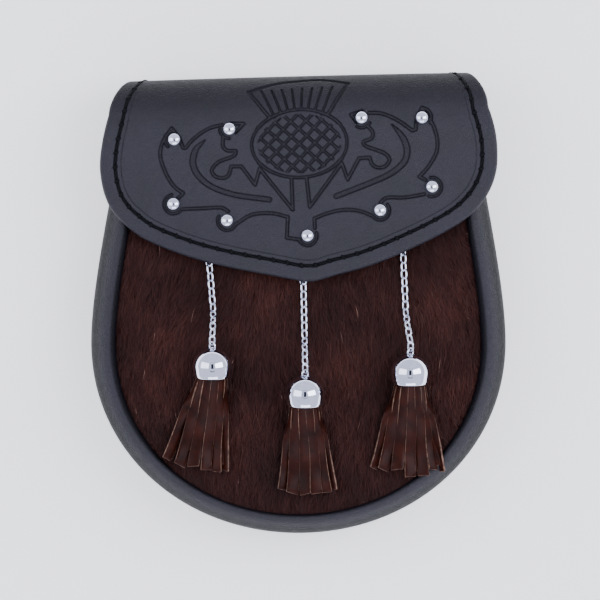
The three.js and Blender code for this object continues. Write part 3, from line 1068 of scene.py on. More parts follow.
RIGHT_LEAF = {
    "outer scroll": Stroke(
        (
            (54.2, 86), (58, 80.5), (59.8, 77), (61, 72), (60.5, 67.5), (58, 63), (55.4, 59.6),
            (53, 57.2),
        ),
    ),
    "hood": Stroke(((54.2, 86), (51.6, 80), (51.5, 77), (49.8, 76.6)), curved=False),
    "top scroll": Stroke(((31, 84.2), (35.5, 84), (40, 82.6), (45, 80), (49.8, 76.6))),
    "top point": Stroke(((28, 85), (23, 83.6), (25.6, 80.4)), curved=False),
    "inner curl": Stroke(
        (
            (30.4, 78.6), (32.6, 76), (32, 73.4), (28.6, 72), (29.6, 70.2), (34, 68.6), (38, 67),
            (40, 64.4), (38, 61.6), (35, 61), (32.4, 62.4), (31.2, 65.3),
        ),
    ),
    "inner points": Stroke(((31.2, 65.3), (26.6, 65), (21.6, 55.8), (19, 63), (5, 43.8)), curved=False),
    "crescent": Stroke(
        (
            (41, 79.2), (45.2, 74.6), (47.2, 70.8), (47.6, 67), (45.8, 62.8), (39.6, 58), (29.6, 53.6),
            (16.6, 48.5),
        ),
        BAND,
    ),
    "notch": Stroke(((53, 57.2), (55.8, 55.8)), curved=False),
    "lower edge": Stroke(((55.2, 49.6), (46.5, 48.1), (39, 48), (36, 45.8))),
    "root scroll": Stroke(((32, 40.2), (28.5, 41.6), (24.5, 42.5), (19, 42.5), (12.5, 41), (7, 38.8))),
    "root": Stroke(((7, 38.8), (7.2, 34.6)), curved=False),
}
THISTLE = {
    "stem left": Stroke(((-3, 56.4), (-2.5, 42.6)), curved=False),
    "stem right": Stroke(((3.6, 56.4), (5, 43.8)), curved=False),
    "crown left": Stroke(((-12.6, 83), (-22, 93.6)), curved=False),
    "crown right": Stroke(((13, 84.2), (22, 96)), curved=False),
    "crown top": Stroke(((-22, 93.6), (-11, 96.2), (0, 97.2), (11, 97.4), (22, 96))),
}


@dataclass(frozen=True)
class StudPlace:
    """Where a dome stud sits, and the arc of the embossing that runs round it, in degrees."""

    x: float
    y: float
    arc: tuple[float, float]


STUDS = (
    StudPlace(-54.5, 73.8, (100, 230)),
    StudPlace(-30.3, 78.2, (180, 270)),
    StudPlace(-54.8, 45.3, (100, 320)),
    StudPlace(-31.3, 37.9, (150, 330)),
    StudPlace(4.0, 31.2, (200, 380)),
    StudPlace(35.8, 42.4, (210, 400)),
    StudPlace(58.6, 52.8, (-110, 100)),
    StudPlace(54.2, 81.7, (-30, 80)),
    StudPlace(27.7, 82.1, (240, 330)),
)


@dataclass
class FlapForm:
    """The flap as a sheet: s runs along it from the hidden end behind the back, over the fold, to the tip."""

    form: PouchForm
    thick: float = 3.0
    lift: float = 4.4
    fold_y: float = 83.7
    leg_y: float = 68.0
    leg_half: float = 73.0
    skew: float = 0.026
    droop: float = 1.6
    droop_more: float = 0.07
    edge: tuple[tuple[float, float, float], ...] = (
        (87, -83.3, 83.3),
        (75, -85.9, 86.8),
        (64, -87.2, 87.4),
        (56, -86.6, 85.8),
        (49, -84.8, 82.4),
        (42.7, -81.6, 77.4),
        (36.9, -76.2, 70.2),
        (30.9, -68.4, 59.8),
        (25.9, -57.6, 49.4),
        (21.1, -44.0, 38.6),
        (17.3, -28.8, 28.2),
        (14.4, -13.8, 17.2),
        (12.4, -3.4, 10.6),
        (11.4, 2.2, 6.4),
    )

    def __post_init__(self) -> None:
        """Samples the middle line of the sheet once."""
        leg_z = -0.3 - self.thick / 2
        slope = math.atan(float(self.front_z(60) - self.front_z(84)) / 24)
        end = math.pi / 2 - slope
        radius = (float(self.front_z(84.5)) - leg_z) / (1 + math.sin(end))
        leg = np.linspace(self.leg_y, self.fold_y, 30)[:-1]
        turn = np.linspace(-math.pi / 2, end, 90)
        wide = ease(turn, math.radians(-40), end)
        first = self.fold_y + radius * math.cos(end)
        front = np.linspace(first - 2.5, self.edge[-1][0], 260)
        edge = spline(self.edge, 12)[::-1]
        ahead = np.arctan((self.front_z(front - 1) - self.front_z(front + 1)) / 2)
        still = np.zeros(len(leg))
        self.y = np.concatenate([leg, self.fold_y + radius * np.cos(turn), front])
        self.z = np.concatenate([still + leg_z, leg_z + radius + radius * np.sin(turn), self.front_z(front)])
        self.ny = np.concatenate([still, np.cos(turn), np.sin(ahead)])
        self.nz = np.concatenate([still - 1, np.sin(turn), np.cos(ahead)])
        sides = []
        for column, leg_x in ((1, -self.leg_half), (2, self.leg_half)):
            turning = leg_x + (self.edge[0][column] - leg_x) * wide
            seen = np.interp(front, edge[:, 0], edge[:, column])
            sides.append(np.concatenate([still + leg_x, turning, seen]))
        self.left, self.right = sides
        self.fall = np.concatenate([still, wide * self.droop, self.fall_at(front)])
        steps = np.hypot(np.diff(self.y), np.diff(self.z))
        self.s = np.concatenate([[0], np.cumsum(steps)])
        self.front_from = self.s[len(leg) + 60]

    def front_z(self, y: np.ndarray | float) -> np.ndarray:
        """The height of the sheet's middle at x = 0."""
        return self.form.fur_z(0, y) + self.lift + self.thick / 2

    def fall_at(self, y: np.ndarray | float) -> np.ndarray:
        """How far the sides of the front fall below its middle."""
        return self.droop + self.droop_more * np.maximum(0, 80 - np.asarray(y))

    def along(self, y: np.ndarray) -> np.ndarray:
        """The place along the sheet that is seen at y on the front."""
        front = self.s >= self.front_from
        return np.interp(-np.asarray(y), -self.y[front], self.s[front])

    def point(self, x: np.ndarray, s: np.ndarray, out: np.ndarray | float) -> np.ndarray:
        """A point of the sheet in the bag's frame.

        Args:
            x: Places across.
            s: Places along the sheet.
            out: Heights above the middle of its thickness.

        Returns:
            The points, three columns.
        """
        y, z, ny, nz, fall = (np.interp(s, self.s, v) for v in (self.y, self.z, self.ny, self.nz, self.fall))
        out = out - fall * (x / 75) ** 2
        askew = self.skew * x * ease(y, 60, 92)
        return np.stack([x, y + askew + ny * out, z + nz * out], axis=-1)

    def seat(self, x: float, y: float) -> tuple[np.ndarray, np.ndarray]:
        """A place on the outer face.

        Args:
            x: The place across.
            y: The place up the front.

        Returns:
            The point and the face's normal.
        """
        s = self.along(np.array([y]))
        at = self.point(np.array([x]), s, self.thick / 2)[0]
        du = self.point(np.array([x + 0.5]), s, self.thick / 2)[0] - at
        dv = self.point(np.array([x]), s - 0.5, self.thick / 2)[0] - at
        normal = np.cross(du, dv)
        return at, normal / np.linalg.norm(normal)

    def sides(self, count: int) -> list[np.ndarray]:
        """The left and the right edge in so many points each: places across and along the sheet."""
        rows = np.linspace(0, self.s[-1], count)
        return [np.column_stack([np.interp(rows, self.s, side), rows]) for side in (self.left, self.right)]

    def border(self, inset: float) -> np.ndarray:
        """A line at an even distance inside the sheet's edge, from one hidden end round the tip to the other.

        Args:
            inset: The distance from the edge.

        Returns:
            Places across and along the sheet.
        """
        left, right = self.sides(700)
        edges = np.vstack([left, right[::-1]])
        tangent = np.gradient(spline(edges[::7], 7), axis=0)[: len(edges)]
        tangent = tangent / np.linalg.norm(tangent, axis=1)[:, None]
        inner = edges[: len(tangent)] + inset * np.stack([tangent[:, 1], -tangent[:, 0]], axis=1)
        gap = segment_distance(inner, edges)
        return spline(even(inner[gap > inset - 0.25], 60), 8)


@dataclass
class Flap(Maker):
    """The closed flap: embossed sheet, stitching and crease along its edge."""

    sheet: FlapForm = field(init=False)
    cell: float = 1.45
    depth: float = 0.6
    stitch_inset: float = 6.8
    stitch_pitch: float = 6.2
    crease_inset: float = 9.3
    groove_half: float = 0.5
    round_stud: float = 4.15
    head_at: tuple[float, float] = (0.4, 71.4)
    head_half: tuple[float, float] = (20.9, 15.0)
    scales: tuple[float, float] = (6.8, 6.6)
    tilt: float = 2.5

    def __post_init__(self) -> None:
        """Makes the sheet's form."""
        self.sheet = FlapForm(self.form)

    def build(self) -> None:
        """Makes the sheet and its stitches."""
        self.leather()
        self.stitches()

    def rows(self) -> tuple[np.ndarray, np.ndarray]:
        """The sheet's grid in its own plane, closer near its edges.

        Returns:
            Places across and along, rows by columns.
        """
        sheet = self.sheet
        fine = np.array([0, 0.12, 0.4, 0.85, 1.5])
        inner = np.linspace(fine[-1], sheet.s[-1] - fine[-1], int(sheet.s[-1] / self.cell))
        along = np.concatenate([fine[:-1], inner, sheet.s[-1] - fine[-2::-1]])
        left = np.interp(along, sheet.s, sheet.left)
        right = np.interp(along, sheet.s, sheet.right)
        count = int(174 / self.cell)
        rows = []
        for a, b in zip(left, right):
            step = fine * min(1, (b - a) / 24)
            inner = np.linspace(a + step[-1], b - step[-1], count)
            rows.append(np.concatenate([a + step[:-1], inner, b - step[-2::-1]]))
        across = np.array(rows)
        return across, np.repeat(along[:, None], across.shape[1], axis=1)

    def flat_sheet(self, name: str) -> bpy.types.Object:
        """The sheet's grid, still flat: X across and Y along it."""
        across, along = self.rows()
        sheet = add_grid(name, across.shape[1], across.shape[0])
        move_points(sheet, np.stack([across, along, np.zeros_like(along)], axis=2).reshape(-1, 3))
        return sheet

    def carving(self, flat: np.ndarray) -> np.ndarray:
        """The distance of places on the sheet from the nearest embossed line's border, negative inside it.

        Args:
            flat: Places across and along the sheet.

        Returns:
            One distance a place.
        """
        sheet = self.sheet
        gap = np.full(len(flat), 50.0)
        for stroke in (*LEFT_LEAF.values(), *RIGHT_LEAF.values(), *THISTLE.values()):
            line, half = stroke.line()
            pressed = np.column_stack([line[:, 0], sheet.along(line[:, 1])])
            np.minimum(gap, segment_distance(flat, pressed, half), out=gap)
        for stud in STUDS:
            angle = np.radians(np.linspace(*stud.arc, 24))
            x, y = stud.x + self.round_stud * np.cos(angle), stud.y + self.round_stud * np.sin(angle)
            arc = np.column_stack([x, sheet.along(y)])
            np.minimum(gap, segment_distance(flat, arc, np.full(24, self.groove_half)), out=gap)
        np.minimum(gap, self.head(flat), out=gap)
        np.minimum(gap, segment_distance(flat, sheet.border(self.stitch_inset)) - self.groove_half, out=gap)
        return np.minimum(gap, segment_distance(flat, sheet.border(self.crease_inset)) + 0.12)

    def head(self, flat: np.ndarray) -> np.ndarray:
        """The thistle's head: its ring, the lattice of scales inside, and the bristles above.

        Args:
            flat: Places across and along the sheet.

        Returns:
            Distances from the borders of its grooves.
        """
        half_x, half_y = self.head_half
        centre_s = float(self.sheet.along(np.array([self.head_at[1]]))[0])
        c, s = math.cos(math.radians(self.tilt)), math.sin(math.radians(self.tilt))
        x, y = flat[:, 0] - self.head_at[0], centre_s - flat[:, 1]
        u, v = x * c + y * s, y * c - x * s
        radius = np.hypot(u / half_x, v / half_y)
        inside = (1 - radius) * half_y
        ring = np.abs(inside) * np.where(np.abs(v) < half_y * 0.5, half_x / half_y, 1) - self.groove_half
        pitch_x, pitch_y = self.scales
        across = np.abs((u / pitch_x + v / pitch_y + 0.5) % 1 - 0.5)
        back = np.abs((u / pitch_x - v / pitch_y + 0.5) % 1 - 0.5)
        scale = 1 / math.hypot(1 / pitch_x, 1 / pitch_y)
        lattice = np.where(inside > 1.9, np.minimum(across, back) * scale - self.groove_half, 5.0)
        rise = (v - half_y * 0.8) / 12.6
        fan = np.full(len(flat), 5.0)
        for share in np.linspace(-0.78, 0.78, 8):
            line = np.array([(13.2 * share, half_y + 0.4 - 5 * share * share), (20 * share, half_y + 9.2)])
            np.minimum(fan, segment_distance(np.column_stack([u, v]), line) - 0.38, out=fan)
        return np.minimum(np.minimum(ring, lattice), np.where((rise > -0.3) & (rise < 1.3), fan, 5.0))

    def leather(self) -> None:
        """The sheet: cut finer along its lines, pressed, folded, and closed round its edge."""
        face = self.flat_sheet("flap_sheet")
        for reach in (1.9, 1.0):
            centres = np.empty(len(face.data.polygons) * 3, np.float32)
            face.data.polygons.foreach_get("center", centres)
            flat = centres.reshape(-1, 3)[:, :2].astype(float)
            near = np.abs(self.carving(flat)) < reach
            near &= flat[:, 1] > self.sheet.front_from - 24
            select_faces(face, near)
            edit(face, lambda: bpy.ops.mesh.subdivide(number_cuts=1), select=False)
        lining = self.flat_sheet("flap_lining")
        flat = points_of(face)[:, :2]
        gap = self.carving(flat)
        pressed = self.depth * (1 - ease(gap, -0.28, 0.28))
        # Dye and painted shade: the grooves' floors take dye and wax, and a dark line of painted shade lies
        # along each groove wall. Painted shade darkens the sheet over the fold and fades out down the front,
        # where the flap turns away from the light.
        wall = np.exp(-((gap / 0.3) ** 2))
        fold = 0.8 * (1 - ease(flat[:, 1], self.sheet.front_from - 12, self.sheet.front_from + 26))
        dye_and_shade = np.maximum.reduce([0.78 * wall, 0.22 * (1 - ease(gap, -0.2, 0.1)), fold])
        add_attribute(face, "dye_and_shade", dye_and_shade)
        add_attribute(lining, "dye_and_shade", np.zeros(len(lining.data.vertices)))
        for piece, side, depth in ((face, 1, pressed), (lining, -1, 0)):
            move_points(piece, self.folded(points_of(piece)[:, :2], side, depth))
        activate(face)
        lining.select_set(True)
        bpy.ops.object.join()
        weld(face, 0.01)
        smooth(face, 60)
        self.hand_in(face, self.finishes.black, Slot.BLACK_LEATHER, ["flap"])

    def folded(self, flat: np.ndarray, side: int, depth: np.ndarray | float) -> np.ndarray:
        """Takes the flat sheet to its folded shape, with a round edge.

        Args:
            flat: Places across and along the sheet.
            side: 1 for the outer face and -1 for the inner one.
            depth: How deep the face is pressed.

        Returns:
            Points in the bag's frame.
        """
        sheet = self.sheet
        left, right = sheet.sides(260)
        outline = np.vstack([left, right[::-1], left[:1]])
        radius = sheet.thick / 2
        inside = np.clip(segment_distance(flat, outline), 0, radius)
        height = radius * np.sqrt(np.clip(1 - (1 - inside / radius) ** 2, 0, 1))
        return sheet.point(flat[:, 0], flat[:, 1], side * height - depth)

    def stitches(self) -> None:
        """The saddle stitch: thread between holes, each stitch sinking at its ends."""
        line = self.sheet.border(self.stitch_inset)
        middle = self.sheet.thick / 2 - self.depth
        place = self.sheet.point(line[:, 0], line[:, 1], middle)
        above = self.sheet.point(line[:, 0], line[:, 1], middle + 1)
        length = np.linalg.norm(np.diff(place, axis=0), axis=1).sum()
        count = int(length / self.stitch_pitch)
        at = even(np.hstack([place, above]), 2 * count + 1)[1::2]
        ends = even(place, 2 * count + 1)
        model = add_shape("stitch", bpy.ops.mesh.primitive_uv_sphere_add, segments=8, ring_count=8, radius=1)
        shape = points_of(model)
        bulge = np.sqrt(np.clip(1 - shape[:, 2] ** 2, 0, 1))
        radial = shape[:, :2] / np.maximum(np.linalg.norm(shape[:, :2], axis=1), 1e-6)[:, None]
        thick = 0.62 * np.minimum(bulge * 1.5, 1)
        sunk = radial[:, 1] * thick - 0.3 * shape[:, 2] ** 2
        move_points(model, np.column_stack([radial[:, 0] * thick, shape[:, 2] * 2.9, sunk]))
        places = []
        for i, row in enumerate(at):
            up = row[3:] - row[:3]
            along = ends[2 * i + 2] - ends[2 * i]
            turn = turned_to(along, up)
            slant = np.array([[1, 0.16, 0], [0, 1, 0], [0, 0, 1]])
            places.append((turn @ slant, row[:3] + up * 0.3))
        thread = repeat("flap_stitching", model, places)
        smooth(thread, 80)
        self.hand_in(thread, self.finishes.thread, Slot.BLACK_LEATHER)
        self.knots(even(np.hstack([place, above]), count + 1))

    def knots(self, holes: np.ndarray) -> None:
        """The lump at each hole, where the two threads cross.

        Args:
            holes: A point on the sheet and one above it, for each hole.
        """
        model = add_shape("knot", bpy.ops.mesh.primitive_uv_sphere_add, segments=10, ring_count=6, radius=1)
        shape = points_of(model)
        move_points(model, shape * [1.3, 1.05, 0.85] + np.outer(shape[:, 0], [0, 0.35, 0]))
        at = holes[:, :3]
        up = holes[:, 3:] - at
        places = [(turned_to(a, u), p + u * 0.35) for a, u, p in zip(np.gradient(at, axis=0), up, at)]
        lumps = repeat("flap_thread_knots", model, places)
        smooth(lumps, 80)
        self.hand_in(lumps, self.finishes.thread, Slot.BLACK_LEATHER)


@dataclass
class Hardware(Maker):
    """The dome studs on the flap."""

    radius: float = 2.95
    rise: float = 2.1
    rim: float = 0.35
    proud: float = 0.2

    def build(self) -> None:
        """Makes the studs."""
        sheet = FlapForm(self.form)
        angles = np.linspace(0, math.pi / 2, 9)
        profile = [(0, -0.1), (self.radius - 0.1, -0.1), (self.radius, 0), (self.radius, self.rim * 0.7)]
        dome_radius = self.radius * 0.995
        profile += [(dome_radius * math.cos(a), self.rim + self.rise * math.sin(a)) for a in angles[:-1]]
        profile += [(0, self.rim + self.rise)]
        for i, stud in enumerate(STUDS):
            at, normal = sheet.seat(stud.x, stud.y)
            dome = lathe(f"dome_stud_{i + 1}", profile, 40)
            put(dome, turned_to(normal, TO_FOLD), at + normal * self.proud)
            smooth(dome, 60)
            self.hand_in(dome, self.finishes.chrome, Slot.CHROME, [f"stud_{i + 1}"])


@dataclass
class BeltLoops(Maker):
    """Two leather strips behind, whose raised middles lie flat on the floor."""

    centre_x: float = 45.0
    wide: float = 18.0
    thick: float = 2.0
    tab: float = 7.0
    low_y: float = 30.0
    high_y: float = 55.0
    ramp: float = 4.5

    def build(self) -> None:
        """Makes both loops."""
        for side, name in ((-1, "left"), (1, "right")):
            self.loop(name, side * self.centre_x)

    def profile(self) -> np.ndarray:
        """The middle line of the strip: places along the back and heights."""
        slope, start = self.lay.slope, self.lay.back_low_y
        half = self.thick / 2
        top = -0.3 - half
        low, high = (-slope * (y - start) + half for y in (self.low_y, self.high_y))
        corners = [
            (self.low_y - self.ramp - self.tab, top),
            (self.low_y - self.ramp - 0.5, top),
            (self.low_y + 0.3, low),
            (self.high_y - 0.3, high),
            (self.high_y + self.ramp + 0.5, top),
            (self.high_y + self.ramp + self.tab, top),
        ]
        return even(np.array(corners), 60)

    def loop(self, name: str, x: float) -> None:
        """One loop: a strip laid along its profile and thickened."""
        line = self.profile()
        strip = add_grid(f"belt_strip_{name}", 7, len(line))
        across = np.linspace(-self.wide / 2, self.wide / 2, 7)
        points = [np.column_stack([x + across, np.full(7, y), np.full(7, z)]) for y, z in line]
        move_points(strip, np.vstack(points))
        modify(strip, "SOLIDIFY", thickness=self.thick, offset=0, use_even_offset=True)
        modify(strip, "BEVEL", width=0.5, segments=2, limit_method="ANGLE", angle_limit=math.radians(60))
        weld(strip)
        smooth(strip, 45)
        self.hand_in(strip, self.finishes.black, Slot.BLACK_LEATHER, [f"belt_loop_{name}"])


# ------------------------------------------------------------------ tassels


@dataclass(frozen=True)
class Strip:
    """One strip of a fringe: where its end lies, its place round the bundle, and how it turns."""

    end_x: float
    length: float
    round: float
    level: float
    roll: float
    wide: float = 5.4


@dataclass(frozen=True)
class TasselPlan:
    """Where a tassel lies, its chain, and its strips from one side to the other."""

    side: Side
    x: float
    y: float
    to: tuple[float, float]
    bow: float
    links: int
    strips: tuple[Strip, ...]


LEFT_TASSEL = TasselPlan(
    Side.LEFT, -37.2, -16.9, (-39.9, 30), 1.2, 14,
    (
        Strip(-19.0, 36.0, -120, 0.5, -8),
        Strip(-10.0, 38.0, -155, 0.5, 6),
        Strip(-2.0, 39.0, 170, 0.5, 0),
        Strip(3.0, 39.0, 125, 0.6, 10),
        Strip(-20.4, 36.6, -82, 1.6, -34, 5.0),
        Strip(-14.2, 39.4, -52, 2.0, -12, 6.2),
        Strip(-8.0, 39.8, -20, 2.3, 10, 6.0),
        Strip(-2.6, 41.4, 12, 2.4, -22, 5.6),
        Strip(1.6, 42.2, 44, 1.9, 26, 4.6),
        Strip(5.0, 41.6, 80, 1.3, 48, 5.0),
    ),
)
MIDDLE_TASSEL = TasselPlan(
    Side.MIDDLE, 2.9, -28.9, (2, 19), 0.0, 15,
    (
        Strip(-9.0, 37.0, -120, 0.5, -8),
        Strip(-3.0, 38.0, -155, 0.5, 6),
        Strip(4.0, 38.0, 170, 0.5, 0),
        Strip(9.6, 37.0, 125, 0.6, 10),
        Strip(-10.4, 38.0, -80, 1.5, -30, 4.8),
        Strip(-5.4, 39.6, -46, 2.1, -8, 6.4),
        Strip(0.6, 40.0, -14, 2.5, 18, 5.6),
        Strip(5.4, 39.6, 18, 2.2, -14, 6.2),
        Strip(9.4, 39.2, 50, 1.8, 20, 5.0),
        Strip(12.0, 37.6, 84, 1.2, 50, 5.0),
    ),
)
RIGHT_TASSEL = TasselPlan(
    Side.RIGHT, 48.4, -19.7, (45.3, 35), -1.3, 17,
    (
        Strip(-13.0, 36.0, -120, 0.5, -8),
        Strip(-5.0, 38.0, -155, 0.5, 6),
        Strip(3.0, 39.0, 170, 0.5, 0),
        Strip(11.0, 37.0, 125, 0.6, 10),
        Strip(-16.2, 38.0, -84, 1.5, -46, 5.0),
        Strip(-11.6, 38.6, -56, 1.9, -16, 6.0),
        Strip(-5.2, 38.4, -26, 2.3, 8, 6.2),
        Strip(0.4, 41.6, 6, 2.5, -20, 5.8),
        Strip(5.8, 41.2, 34, 2.1, 16, 5.6),
        Strip(9.8, 38.6, 60, 1.7, -26, 4.6),
        Strip(13.8, 39.4, 88, 1.2, 54, 5.0),
    ),
)


@dataclass
class Tassel(Maker):
    """One tassel: post, chain, eye, bell cap and leather fringe."""

    plan: TasselPlan = LEFT_TASSEL
    wire: float = 0.9
    link_wide: float = 3.7
    link_long: float = 5.1
    bite: float = 0.12
    lie: float = 1.9
    cap_long: float = 13.1
    cap_dome: float = 8.5
    cap_radius: float = 8.7
    cap_mouth: float = 8.1
    cap_wall: float = 0.9
    cap_hole: float = 2.3
    eye_ring: float = 1.75
    eye_above: float = 0.7
    strip_thick: float = 0.9
    bundle: float = 5.9
    tucked: float = 4.5

    @property
    def side(self) -> str:
        """The word for this tassel in the names of its pieces."""
        return self.plan.side.value

    def build(self) -> None:
        """Makes every piece of the tassel."""
        self.cap_place()
        self.chain()
        self.post()
        self.eye()
        self.cap()
        self.fringe()

    def cap_place(self) -> None:
        """Sets the top of the cap and the direction from its mouth to its top."""
        mouth_y = self.plan.y - self.cap_long
        normal = self.form.fur_normal(self.plan.x, mouth_y)
        axis = np.array([0, normal[2], -normal[1]])
        pitch = math.atan2(axis[2], axis[1]) + math.radians(4)
        self.axis = np.array([0, math.cos(pitch), math.sin(pitch)])
        rest_y = mouth_y + 3.6
        rest = np.array([self.plan.x, rest_y, float(self.form.fur_z(self.plan.x, rest_y))])
        self.top = rest + normal * (self.cap_radius + 0.4) + self.axis * (self.cap_long - 3.6)

    def frame_along(self, at: np.ndarray, direction: np.ndarray, lean: float) -> np.ndarray:
        """The turn of a piece whose Y lies along a direction and whose Z leans away from the fur."""
        up = self.form.fur_normal(float(at[0]), float(at[1]))
        return turned_to(direction, up) @ about_y(lean)

    def path(self) -> np.ndarray:
        """The chain's line from the eye down to the fur and up under the flap."""
        hook = self.top + self.axis * (self.eye_above + self.eye_ring - self.wire - 0.35)
        leave = hook + self.axis * self.link_long * 0.7
        height = leave[2] - float(self.form.fur_z(leave[0], leave[1]))
        rows = [hook, leave]
        for i in range(1, 10):
            along = i / 8
            x = leave[0] + (self.plan.to[0] - leave[0]) * along
            x += self.plan.bow * float(ease(along, 0, 0.25)) * (1 - along)
            y = leave[1] + (self.plan.to[1] - leave[1]) * along
            drop = float(ease(i, 0, 2.6))
            rows.append(np.array([x, y, float(self.form.fur_z(x, y)) + height + (self.lie - height) * drop]))
        return spline(rows, 16)

    def centres(self) -> list[tuple[np.ndarray, np.ndarray]]:
        """The middle and the direction of each link."""
        line = self.path()
        along = np.concatenate([[0], np.cumsum(np.linalg.norm(np.diff(line, axis=0), axis=1))])
        pitch = self.link_long - 2 * self.wire + self.bite
        places = []
        for i in range(self.plan.links):
            at = (self.link_long - self.wire) / 2 + i * pitch
            here, ahead = (np.array([np.interp(at + d, along, c) for c in line.T]) for d in (-0.4, 0.4))
            places.append(((here + ahead) / 2, ahead - here))
        return places

    def wire_ring(self, name: str, radius: float, around: int) -> bpy.types.Object:
        """A ring bent from the wire.

        Args:
            name: Its name.
            radius: The radius of the wire's middle.
            around: How many segments go round it.

        Returns:
            The ring, round its own origin.
        """
        sizes = {"major_radius": radius, "minor_radius": self.wire / 2}
        torus = bpy.ops.mesh.primitive_torus_add
        return add_shape(name, torus, major_segments=around, minor_segments=10, **sizes)

    def chain(self) -> None:
        """The chain: one link bent from round wire and copied, on alternate edges."""
        link = self.wire_ring("link", (self.link_wide - self.wire) / 2, 28)
        shape = points_of(link)
        stretch = (self.link_long - self.link_wide) / 2
        shape[:, 1] += np.clip(shape[:, 1] / 0.4, -1, 1) * stretch
        move_points(link, shape)
        near = {0: 0.0, 1: 65.0, 2: -25.0}
        places = []
        for i, (at, direction) in enumerate(self.centres()):
            from_post = self.plan.links - 1 - i
            lean = near.get(from_post, 45.0 if from_post % 2 else -45.0)
            places.append((self.frame_along(at, direction, lean), at))
        chain = repeat(f"cable_chain_{self.side}", link, places)
        smooth(chain, 60)
        self.hand_in(chain, self.finishes.chrome, Slot.CHROME, [f"chain_{self.side}"])

    def post(self) -> None:
        """The hidden spool that holds the last link."""
        at, direction = self.centres()[-1]
        centre = at + direction / np.linalg.norm(direction) * 0.85
        normal = self.form.fur_normal(float(centre[0]), float(centre[1]))
        low = -(centre[2] - float(self.form.fur_z(centre[0], centre[1]))) + 0.4
        high = self.wire / 2 + 0.3
        profile = [(0, low), (1.6, low), (1.7, low + 0.1), (1.7, low + 0.5), (0.6, low + 0.55)]
        profile += [(0.6, high), (1.6, high), (1.7, high + 0.1), (1.6, high + 0.5), (0, high + 0.55)]
        spool = lathe(f"chain_spool_{self.side}", profile, 24)
        put(spool, turned_to(normal, TO_FOLD), centre)
        smooth(spool, 40)
        self.hand_in(spool, self.finishes.chrome, Slot.CHROME, [f"chain_post_{self.side}"])

    def eye(self) -> None:
        """The wire eye, closed above the cap, with its shank going in."""
        ring = self.wire_ring(f"wire_eye_{self.side}", self.eye_ring, 32)
        radius, low = self.wire / 2, -self.eye_ring
        profile = [(0, low - 2.9), (radius, low - 2.8), (radius, low - 0.1), (radius * 1.2, low + 0.1)]
        shank = lathe("shank", [*profile, (0, low + 0.12)], 12)
        activate(ring)
        shank.select_set(True)
        bpy.ops.object.join()
        lean = 45.0 if (self.plan.links - 1) % 2 else -45.0
        at = self.top + self.axis * self.eye_above
        put(ring, self.frame_along(at, self.axis, lean + 90), at)
        smooth(ring, 60)
        self.hand_in(ring, self.finishes.chrome, Slot.CHROME, [f"tassel_eye_{self.side}"])

    def cap(self) -> None:
        """The bell: a spun dome with a straight skirt and a turned-in lip."""
        dome, hole, wall = self.cap_dome, self.cap_hole, self.cap_wall
        outer = np.linspace(0, math.acos(hole / self.cap_radius), 16)
        inside = self.cap_radius - wall
        inner = np.linspace(math.acos(hole / inside), 0, 10)
        mouth, long = self.cap_mouth, self.cap_long
        profile = [(mouth - wall, -long + 0.15), (mouth - wall + 0.2, -long), (mouth - 0.2, -long)]
        profile += [(mouth, -long + 0.25), (mouth + 0.12, -long + 1.4)]
        profile += [(self.cap_radius * math.cos(a), dome * math.sin(a) - dome) for a in outer]
        profile += [(inside * math.cos(a), (dome - wall) * math.sin(a) - dome) for a in inner]
        profile += [profile[0]]
        bell = lathe(f"bell_cap_{self.side}", profile, 64)
        put(bell, turned_to(self.axis, UP), self.top)
        smooth(bell, 50)
        self.hand_in(bell, self.finishes.chrome, Slot.CHROME, [f"tassel_cap_{self.side}"])

    def fringe(self) -> None:
        """The strips: each leaves the rolled bundle in the cap and falls flat on the fur."""
        made = [self.strip(i, strip) for i, strip in enumerate(self.plan.strips)]
        activate(made[0])
        for other in made[1:]:
            other.select_set(True)
        bpy.ops.object.join()
        fringe = made[0]
        fringe.name = fringe.data.name = f"leather_fringe_{self.side}"
        self.hand_in(fringe, self.finishes.brown, Slot.BROWN_LEATHER, [f"fringe_{self.side}"])

    def strip(self, index: int, strip: Strip) -> bpy.types.Object:
        """One strip.

        Args:
            index: Its place in the fringe, for its name.
            strip: Where it lies.

        Returns:
            The thick strip, in the bag's frame, with raw cut edges.
        """
        rng = np.random.default_rng(100 + index)
        rows, columns = 30, 5
        t = np.linspace(0, 1, rows)
        mouth = self.top - self.axis * self.cap_long
        around = math.radians(strip.round)
        under = abs(strip.round) > 100
        start_x = math.sin(around) * self.bundle
        start_z = math.cos(around) * self.bundle
        run = -self.tucked + (strip.length + self.tucked) * t
        down = np.clip(run / strip.length, 0, 1)
        x = mouth[0] + start_x + (strip.end_x - start_x) * down
        x = x + 0.5 * np.sin(down * 5 + index) * down
        y = mouth[1] - run * self.axis[1]
        straight = mouth[2] + start_z - run * self.axis[2]
        resting = self.form.fur_z(x, y) + 0.35 + strip.level + 1.2 * ease(down, 0.75, 1.0)
        z = straight + (resting - straight) * ease(down, -0.1, 0.3 if under else 0.72)
        settled = ease(down, 0.05, 0.6)
        roll = (0.0 if under else -around * (1 - settled)) + math.radians(strip.roll) * ease(down, 0.2, 0.9)
        roll = np.degrees(roll + 0.12 * np.sin(down * 7 + index * 2) * down)
        across = np.linspace(-0.5, 0.5, columns) * (strip.wide + rng.normal(0, 0.2))
        narrow = 0.62 + 0.2 * ease(down, 0.0, 0.8)
        cup = 0.6 * (1 - ease(down, 0.1, 0.7)) + 0.22
        middle = np.stack([x, y, z], axis=1)
        heading = np.gradient(middle, axis=0)
        grid = np.empty((rows, columns, 3))
        for k in range(rows):
            axes = turned_to(heading[k], UP) @ about_y(float(roll[k]))
            flat = across * narrow[k]
            bend = -cup[k] * (flat / (strip.wide / 2)) ** 2
            grid[k] = middle[k] + np.outer(flat, axes[:, 0]) + np.outer(bend, axes[:, 2])
        grid[-1, :, 1] += rng.uniform(-0.6, 0.6) * np.linspace(-1, 1, columns)
